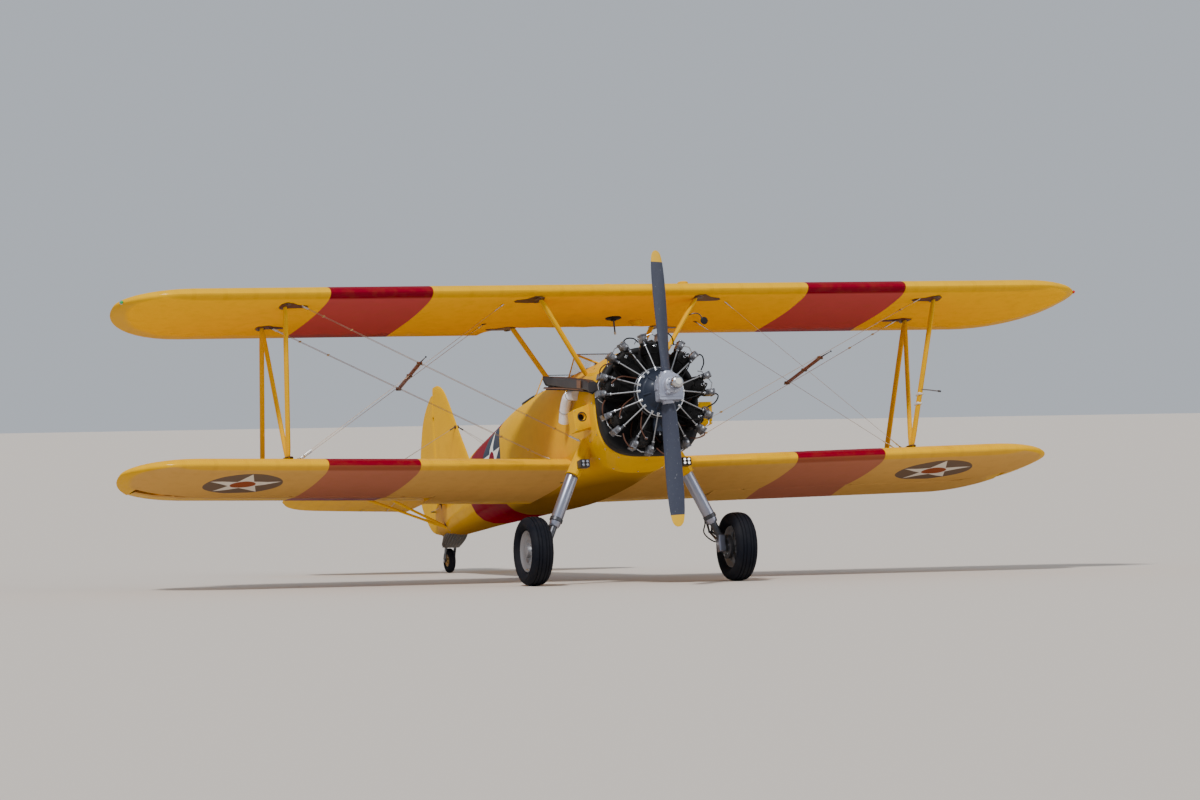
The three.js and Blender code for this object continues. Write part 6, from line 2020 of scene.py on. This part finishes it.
# %% Square boxes
BOXES = table(
    "name front back hole corners",
    ("right", 0.8, 0.96, (-0.581, -0.108),
     [(-0.666, -0.042), (-0.47, 0.023), (-0.459, -0.2), (-0.653, -0.25)]),
    ("left", 0.66, 0.8, (0.618, -0.102),
     [(0.48, -0.03), (0.545, -0.011), (0.696, -0.009), (0.682, -0.223), (0.545, -0.22), (0.48, -0.18)]),
)
INLET = 0.036


def edge_reach(corners, x, z, c, s):
    """How far it is from x, z to the outline in the direction c, s."""
    found = []
    for (ax, az), (bx, bz) in zip(corners, corners[1:] + corners[:1]):
        ex, ez, dx, dz = bx - ax, bz - az, ax - x, az - z
        across = c * ez - s * ex
        if abs(across) > 1e-9 and -1e-6 <= (dx * s - dz * c) / across <= 1 + 1e-6:
            found.append((dx * ez - dz * ex) / across)
    return min(value for value in found if value > 0)


for row in BOXES:
    box = Piece(f"air_box_{row.name}_skin")
    (x, z), front = row.hole, row.front
    turns = sorted([atan2(b - z, a - x) for a, b in row.corners] + [2 * pi * k / 44 - 3.14
                                                                    for k in range(44)])
    ways = [(cos(a), sin(a)) for a in turns]
    reach = [edge_reach(row.corners, x, z, c, s) for c, s in ways]

    def face_ring(y, inset=0.0, radius=None):
        return [Vector((x + c * (radius or far - inset), y, z + s * (radius or far - inset)))
                for (c, s), far in zip(ways, reach)]

    box.loft([face_ring(front + 0.06, radius=INLET - 0.006), face_ring(front + 0.004, radius=INLET - 0.002),
              face_ring(front, radius=INLET), face_ring(front, 0.006), face_ring(front + 0.004),
              face_ring(row.back)], "metal")
    box.turned([(INLET, -0.004), (INLET + 0.01, -0.003), (INLET + 0.011, 0.001), (INLET, 0.002),
                (INLET, -0.004)], "dark_steel", (x, front, z), (x, 0, z), 32)
    box.turned([(0, 0), (0.032, 0), (0.032, 0.006), (0, 0.006)], "panel_black", (x, front + 0.045, z),
               (x, front + 0.2, z), 24)
    for a, b in row.corners:
        spot = Vector((a + (x - a) * 0.13, front, b + (z - b) * 0.13))
        box.turned([(0.005, -0.001), (0.005, 0.001), (0.003, 0.002), (0, 0.002)], "bright_steel", spot,
                   spot - AFT, 10)
    box.build("yellow_metal", [f"air_box_{row.name}"])

# %% [markdown]
# ## Main gear
#
# Each leg is an oil-and-air strut that leans out from the root of the lower wing. A painted fairing covers
# its top, a dark piston slides out below the silver cylinder, and two hinged links keep the wheel pointing
# ahead. The brake line hangs in a loop so that it can follow the stroke. A landing light, a box with four
# lenses, stands ahead of each fairing.

# %% Landing lights
LAMP_PLACE, LAMP_SIZE = (0.516, 0.983, -0.52), (0.096, 0.074, 0.11)
LENS = [(0, -0.001), (0.008, 0), (0.0145, 0.002), (0.015, 0.004), (0, 0.004)]
LENS_RIM = [(0.015, 0), (0.0162, -0.001), (0.0168, 0.003), (0.015, 0.004), (0.015, 0)]


def landing_light(side, hand):
    """A dark box with four small lenses. The port one is lit."""
    lamp = Piece(f"landing_light_{hand}_skin")
    x, y, z = on_side(side, LAMP_PLACE)
    wide, tall, depth = LAMP_SIZE
    lamp.block((x, y + depth / 2 + 0.004, z), (wide, depth - 0.008, tall), "dark_steel", chamfer=0.08)
    lamp.block((x, y + 0.004, z), (wide - 0.01, 0.004, tall - 0.01), "panel_black", chamfer=0.02)
    for a in (-1, 1):
        for b in (-1, 1):
            spot = Vector((x + a * 0.021, y + 0.001, z + b * 0.0165))
            lamp.turned(LENS, "lens" if side > 0 else "lens_off", spot, spot + AFT, 18)
            lamp.turned(LENS_RIM, "bright_steel", spot, spot + AFT, 18)
    lamp.build("lamp", [f"landing_light_{hand}"])


print("landing lights at", LAMP_PLACE)

# %% [markdown]
# ### Fairings and legs
#
# The fairing is the same teardrop as a strut, only wide. Every place on the leg is taken from four points
# on its centre line, so the links, the brake line and its clips follow if the stance is changed.

# %% Fairings and legs
LEG_POINTS = [(0.4, 1.19, -0.29), (0.582, 1.199, -0.602), (0.812, 1.199, -1.096), (0.882, 1.199, -1.246)]
FAIRING_CHORD, FAIRING_WIDTH = 0.25, 0.15
FAIRING_ENDS = [(0, 0.82, 0.84), (0.04, 0.85, 0.86), (0.5, 0.92, 0.92), (0.85, 0.98, 0.98), (1.0, 1.0, 1.0)]
AXLE = SimpleNamespace(x=1.034, y=1.199, z=-1.324, radius=0.02)
PISTON = [(0.034, -0.02), (0.034, 0.12), (0.04, 0.13), (0.042, 0.165), (0, 0.166)]
COLLAR = [(0.0585, -0.095), (0.064, -0.09), (0.064, -0.06), (0.0585, -0.055), (0.0585, -0.095)]
BRAKE_PLATE = [(0, 0), (0.105, 0), (0.118, 0.006), (0.118, 0.034), (0.1, 0.04), (0, 0.04)]
BRAKE_X = AXLE.x - 0.112
for side, hand in SIDES:
    top, knee, chrome, knuckle = (on_side(side, p) for p in LEG_POINTS)
    down = (knee - top).normalized()
    fore = (down * down.y - AFT).normalized()
    out = down.cross(fore)
    cover = Piece(f"gear_fairing_{hand}_skin")
    strut(cover, knee, top, FAIRING_CHORD, FAIRING_WIDTH, "metal", FAIRING_ENDS)
    cover.hoop([knee + fore * (0.1 * c) + out * (0.063 * s) for c, s in circle(28)], 0.005, "metal")
    cover.tube([top.lerp(knee, t) + fore * 0.125 * (1 - 0.17 * t) for t in (0.1, 0.5, 0.97)], 0.0035,
               "metal", 6)
    cover.build("yellow_metal", [f"gear_fairing_{hand}"])

    leg = Piece(f"gear_leg_{hand}_skin")
    long = (chrome - knee).length
    cylinder = [(0, -0.098), (0.05, -0.098), (0.056, 0), (0.058, 0.02), (0.058, long - 0.08),
                (0.056, long - 0.072), (0.054, long - 0.03), (0.046, long - 0.006), (0, long)]
    leg.turned(cylinder, "leg_silver", knee, chrome, 40)
    leg.turned(PISTON, "dark_steel", chrome, knuckle, 28)
    leg.turned(COLLAR, "dark_steel", chrome, knuckle, 36)
    inward = Vector((-side, 0, 0))
    hinge_up = chrome + (knee - chrome).normalized() * 0.05
    elbow = chrome.lerp(knuckle, 0.35) + AFT * 0.155
    hinge_low = knuckle + AFT * 0.045
    for shift in (-0.03, 0.03):
        step = Vector((shift, 0, 0))
        leg.tube([hinge_up + AFT * 0.05 + step, elbow + step * 0.4], [0.013, 0.009], "dark_steel", 10)
        leg.tube([hinge_low + step, elbow + step * 0.4], [0.013, 0.009], "dark_steel", 10)
    for spot, wide in ((hinge_up + AFT * 0.05, 0.042), (hinge_low, 0.042), (elbow, 0.024)):
        leg.tube([spot - PORT * wide, spot + PORT * wide], 0.011, "bright_steel", 12)
    leg.block((knuckle.x + side * -0.006, AXLE.y, (knuckle.z + AXLE.z) / 2 - 0.006), (0.066, 0.086, 0.165),
              "leg_silver", chamfer=0.25)
    leg.tube([(knuckle.x, AXLE.y, AXLE.z), (side * (AXLE.x + 0.0615), AXLE.y, AXLE.z)], AXLE.radius,
             "bright_steel", 24)
    leg.turned(BRAKE_PLATE, "dark_steel", (side * BRAKE_X, AXLE.y, AXLE.z), (side * 2, AXLE.y, AXLE.z), 36)
    for c, s in circle(6):
        spot = Vector((side * BRAKE_X, AXLE.y + 0.085 * c, AXLE.z + 0.085 * s))
        leg.bolt(spot, spot + inward, 0.008, 0.008)
    line = [knee + AFT * 0.055 + inward * 0.02, knee.lerp(chrome, 0.5) + AFT * 0.072,
            hinge_up + AFT * 0.085 + inward * 0.03, elbow + AFT * 0.035 + inward * 0.055,
            knuckle + AFT * 0.1 + inward * 0.055,
            on_side(side, (AXLE.x - 0.125, AXLE.y + 0.05, AXLE.z + 0.05))]
    leg.tube(bent(line, 8), 0.0065, "black_rubber", 10)
    for share in (0.25, 0.7):
        leg.block(knee.lerp(chrome, share) + AFT * 0.062, (0.024, 0.016, 0.012), "bright_steel")
    leg.build("leg_silver", [f"gear_leg_{hand}"])
    landing_light(side, hand)

# %% [markdown]
# ## Wheels
#
# A low-pressure tyre with a few wide ribs, and a cast wheel with a dished silver cover outside. Each wheel
# rides on its own body, so it rolls with its joint.

# %% Main wheels
TYRE = [(0.2015, -0.06), (0.214, -0.078), (0.234, -0.096), (0.252, -0.1045), (0.268, -0.1075),
        (0.286, -0.103), (0.303, -0.093), (0.314, -0.0805), (0.321, -0.068), (0.3225, -0.056),
        (0.316, -0.054), (0.316, -0.048), (0.3265, -0.046), (0.329, -0.026), (0.322, -0.024),
        (0.322, -0.018), (0.3298, -0.016)]
RIM = [(0.0204, -0.052), (0.06, -0.052), (0.072, -0.046), (0.095, -0.03), (0.15, -0.026), (0.18, -0.044),
       (0.19, -0.06), (0.1985, -0.064), (0.1996, -0.058), (0.1996, 0.058), (0.1985, 0.066), (0.193, 0.0685),
       (0.186, 0.066), (0.178, 0.055), (0.168, 0.051), (0.164, 0.0535), (0.158, 0.05), (0.12, 0.0455),
       (0.115, 0.0485), (0.11, 0.0445), (0.064, 0.041), (0.06, 0.048), (0.056, 0.074), (0.05, 0.0775),
       (0, 0.078), (0, 0.072), (0.0204, 0.072), (0.0204, -0.052)]
for side, hand in SIDES:
    start = Vector((side * AXLE.x, AXLE.y, AXLE.z))
    end = start + Vector((side, 0, 0))
    tyre = Piece(f"tyre_{hand}_skin", f"wheel_{hand}")
    profile = TYRE + [(r, -y) for r, y in reversed(TYRE)]
    tyre.turned(profile + [TYRE[0]], "tyre", start, end, 96)
    tyre.turned([(0.268, 0.106), (0.272, 0.1084), (0.276, 0.106), (0.268, 0.106)], "tyre", start, end, 96)
    tyre.tube([start + Vector((side * 0.066, 0, -0.18)), start + Vector((side * 0.086, 0, -0.172))], 0.004,
              "brass_fitting", 8)
    tyre.build("tyre_black", [f"tyre_{hand}"])
    rim = Piece(f"rim_{hand}_skin", f"wheel_{hand}")
    rim.turned(RIM, "rim_silver", start, end, 80)
    for c, s in circle(8):
        spot = start + Vector((side * 0.0425, 0.074 * c, 0.074 * s))
        rim.bolt(spot, spot + Vector((side, 0, 0)), 0.006, 0.006)
        rim.tube([start + Vector((-side * 0.044, 0.066 * c, 0.066 * s)),
                  start + Vector((-side * 0.03, 0.165 * c, 0.165 * s))], [0.01, 0.007], "rim_silver", 8)
    rim.build("rim_silver", [f"rim_{hand}"])

# %% [markdown]
# ## Tail wheel
#
# A small tyre on a brass-coloured wheel, held in a steel fork that turns under a grey canvas boot. The boot
# keeps dirt out of the pivot. Its height follows from the stance: the tyre has to touch the floor.

# %% Tail wheel
TAIL = SimpleNamespace(y=6.685, trail=0.045, radius=0.127)
TAIL.z = (TAIL.radius - PROPELLER.z + TAIL.y * sin(PARK_ANGLE)) / cos(PARK_ANGLE)
TAIL_UPRIGHT = Matrix.Translation((0, TAIL.y, TAIL.z)) @ Matrix.Rotation(PARK_ANGLE, 4, "X")
TAIL_TYRE = [(0.0625, -0.026), (0.078, -0.032), (0.094, -0.0348), (0.108, -0.0315), (0.119, -0.0235),
             (0.1255, -0.013), (0.1268, -0.006), (0.1235, -0.004), (0.1235, 0.004), (0.1268, 0.006)]
TAIL_RIM = [(0.0124, -0.035), (0.022, -0.034), (0.026, -0.022), (0.04, -0.016), (0.052, -0.02),
            (0.058, -0.028), (0.0608, -0.026)]
wheel = Piece("tail_tyre_skin", "tail_wheel")
wheel.place = TAIL_UPRIGHT
profile = TAIL_TYRE + [(r, -y) for r, y in reversed(TAIL_TYRE[:6])] + [TAIL_TYRE[0]]
wheel.turned(profile, "tyre", (0, 0, 0), PORT, 64)
wheel.build("tyre_black", ["tail_tyre"])
wheel = Piece("tail_rim_skin", "tail_wheel")
wheel.place = TAIL_UPRIGHT
wheel.turned(TAIL_RIM + [(r, -y) for r, y in reversed(TAIL_RIM)] + [TAIL_RIM[0]], "brass_fitting", (0, 0, 0),
             PORT, 48)
for side in (-1, 1):
    for c, s in circle(5):
        spot = Vector((side * 0.0165, 0.04 * c, 0.04 * s))
        wheel.bolt(spot, spot + Vector((side, 0, 0)), 0.0045, 0.005)
wheel.build("hub_silver", ["tail_rim"])

# %% [markdown]
# ### Tail fork
#
# Two bent plates and a bridge, cut from thick sheet, with a stub that turns in the fuselage. It is drawn
# upright on the ground, as the wheel is, and then placed by the same matrix.

# %% Tail fork
FORK_SIDE = [(-0.02, -0.016), (-0.012, -0.021), (0.01, -0.021), (0.018, -0.014), (0.018, 0.018),
             (0.004, 0.09), (-0.012, 0.151), (-0.071, 0.151), (-0.071, 0.136), (-0.045, 0.08)]
FORK_BRIDGE = [(-0.055, -0.071), (0.055, -0.071), (0.055, -0.008), (-0.055, -0.008)]
FORK_STUB = [(0, 0.147), (0.03, 0.147), (0.03, 0.156), (0.016, 0.16), (0.016, 0.1988), (0, 0.1988)]
fork = Piece("tail_fork_skin", "tail_fork")
fork.place = TAIL_UPRIGHT
for side in (-1, 1):
    fork.plate([Vector((side * 0.044, y, z)) for y, z in FORK_SIDE], Vector(), Vector((side * 0.01, 0, 0)),
               "dark_steel")
    fork.turned([(0.017, 0), (0.017, 0.008), (0.01, 0.012), (0, 0.012)], "bright_steel",
                (side * 0.054, 0, 0), (side * 1.0, 0, 0), 6)
fork.plate([Vector((x, y, 0.136)) for x, y in FORK_BRIDGE], Vector(), Vector((0, 0, 0.0152)), "dark_steel")
fork.tube([(-0.058, 0, 0), (0.058, 0, 0)], 0.012, "dark_steel", 20)
fork.turned(FORK_STUB, "dark_steel", (0, -TAIL.trail, 0), (0, -TAIL.trail, 1), 28)
fork.build("fork_dark", ["tail_fork"])

# %% [markdown]
# ### Canvas boot
#
# The boot is lofted from the fork's top up to the oval opening in the body. It widens on the way, which is
# why its middle, its size and its tilt are all blended. A wave round each section makes the pleats.

# %% Canvas boot
BOOT_SIDES = 120
BOOT_LEVELS = 24
BOOT_PLEATS = 20
BOOT_FOOT = SimpleNamespace(middle=TAIL_UPRIGHT @ Vector((0, -TAIL.trail, 0.134)), half_x=0.085,
                            half_y=0.085)
BOOT_WIDE = SimpleNamespace(middle=Vector((0, 6.5, -0.3)), half_x=0.096, half_y=0.29)
BOOT_TOP = SimpleNamespace(middle=Vector((0, 6.37, -0.215)), half_x=0.084, half_y=0.395)


def boot_ring(t):
    """The boot's section at t, 0 at the fork and 1 inside the body."""
    if t < 0.5:
        share = t / 0.5
        share = share * share * (3 - 2 * share) * 0.6 + share * 0.4
        start, end, level = BOOT_FOOT, BOOT_WIDE, 1 - share
    else:
        share = (t - 0.5) / 0.5
        start, end, level = BOOT_WIDE, BOOT_TOP, 0.0
    middle = start.middle.lerp(end.middle, share)
    half_x = start.half_x + (end.half_x - start.half_x) * share
    half_y = start.half_y + (end.half_y - start.half_y) * share
    tilt = Matrix.Rotation(PARK_ANGLE * level, 4, "X")
    pleat = 0.0045 * sin(pi * t) + 0.0012
    ring = []
    for i, (c, s) in enumerate(circle(BOOT_SIDES)):
        wave = sin(i * 2 * pi / BOOT_SIDES * BOOT_PLEATS + 2.2 * sin(3 * t))
        fold = 1 - pleat * (1 + wave) / max(half_x, 0.05)
        ring.append(middle + tilt @ Vector((half_x * c * fold, half_y * s * fold, 0)))
    return ring


def fork_ring(radius, z, sides):
    """A circle about the fork's pivot."""
    return [TAIL_UPRIGHT @ Vector((radius * c, -TAIL.trail + radius * s, z)) for c, s in circle(sides)]


boot = Piece("tail_wheel_boot_skin")
inside = [fork_ring(0.077, 0.134 + k / 9 * 0.06, BOOT_SIDES) for k in reversed(range(10))]
boot.loft(inside + [boot_ring(k / BOOT_LEVELS) for k in range(BOOT_LEVELS + 1)], "boot_canvas")
boot.hoop(fork_ring(0.0855, 0.139, 60), 0.0035, "bright_steel")
boot.build("boot_canvas", ["tail_wheel_boot"])

# %% [markdown] ## Finish The box that everything fills is printed beside the box of the bare
# model, so that the two can be set side by side.

# %% Size and finish
visual_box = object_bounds()
sizes = {"cad": [list(map(float, corner)) for corner in cad_box], "visual": [list(map(float, corner))
                                                                             for corner in visual_box]}
print("cad", sizes["cad"], "visual", sizes["visual"])
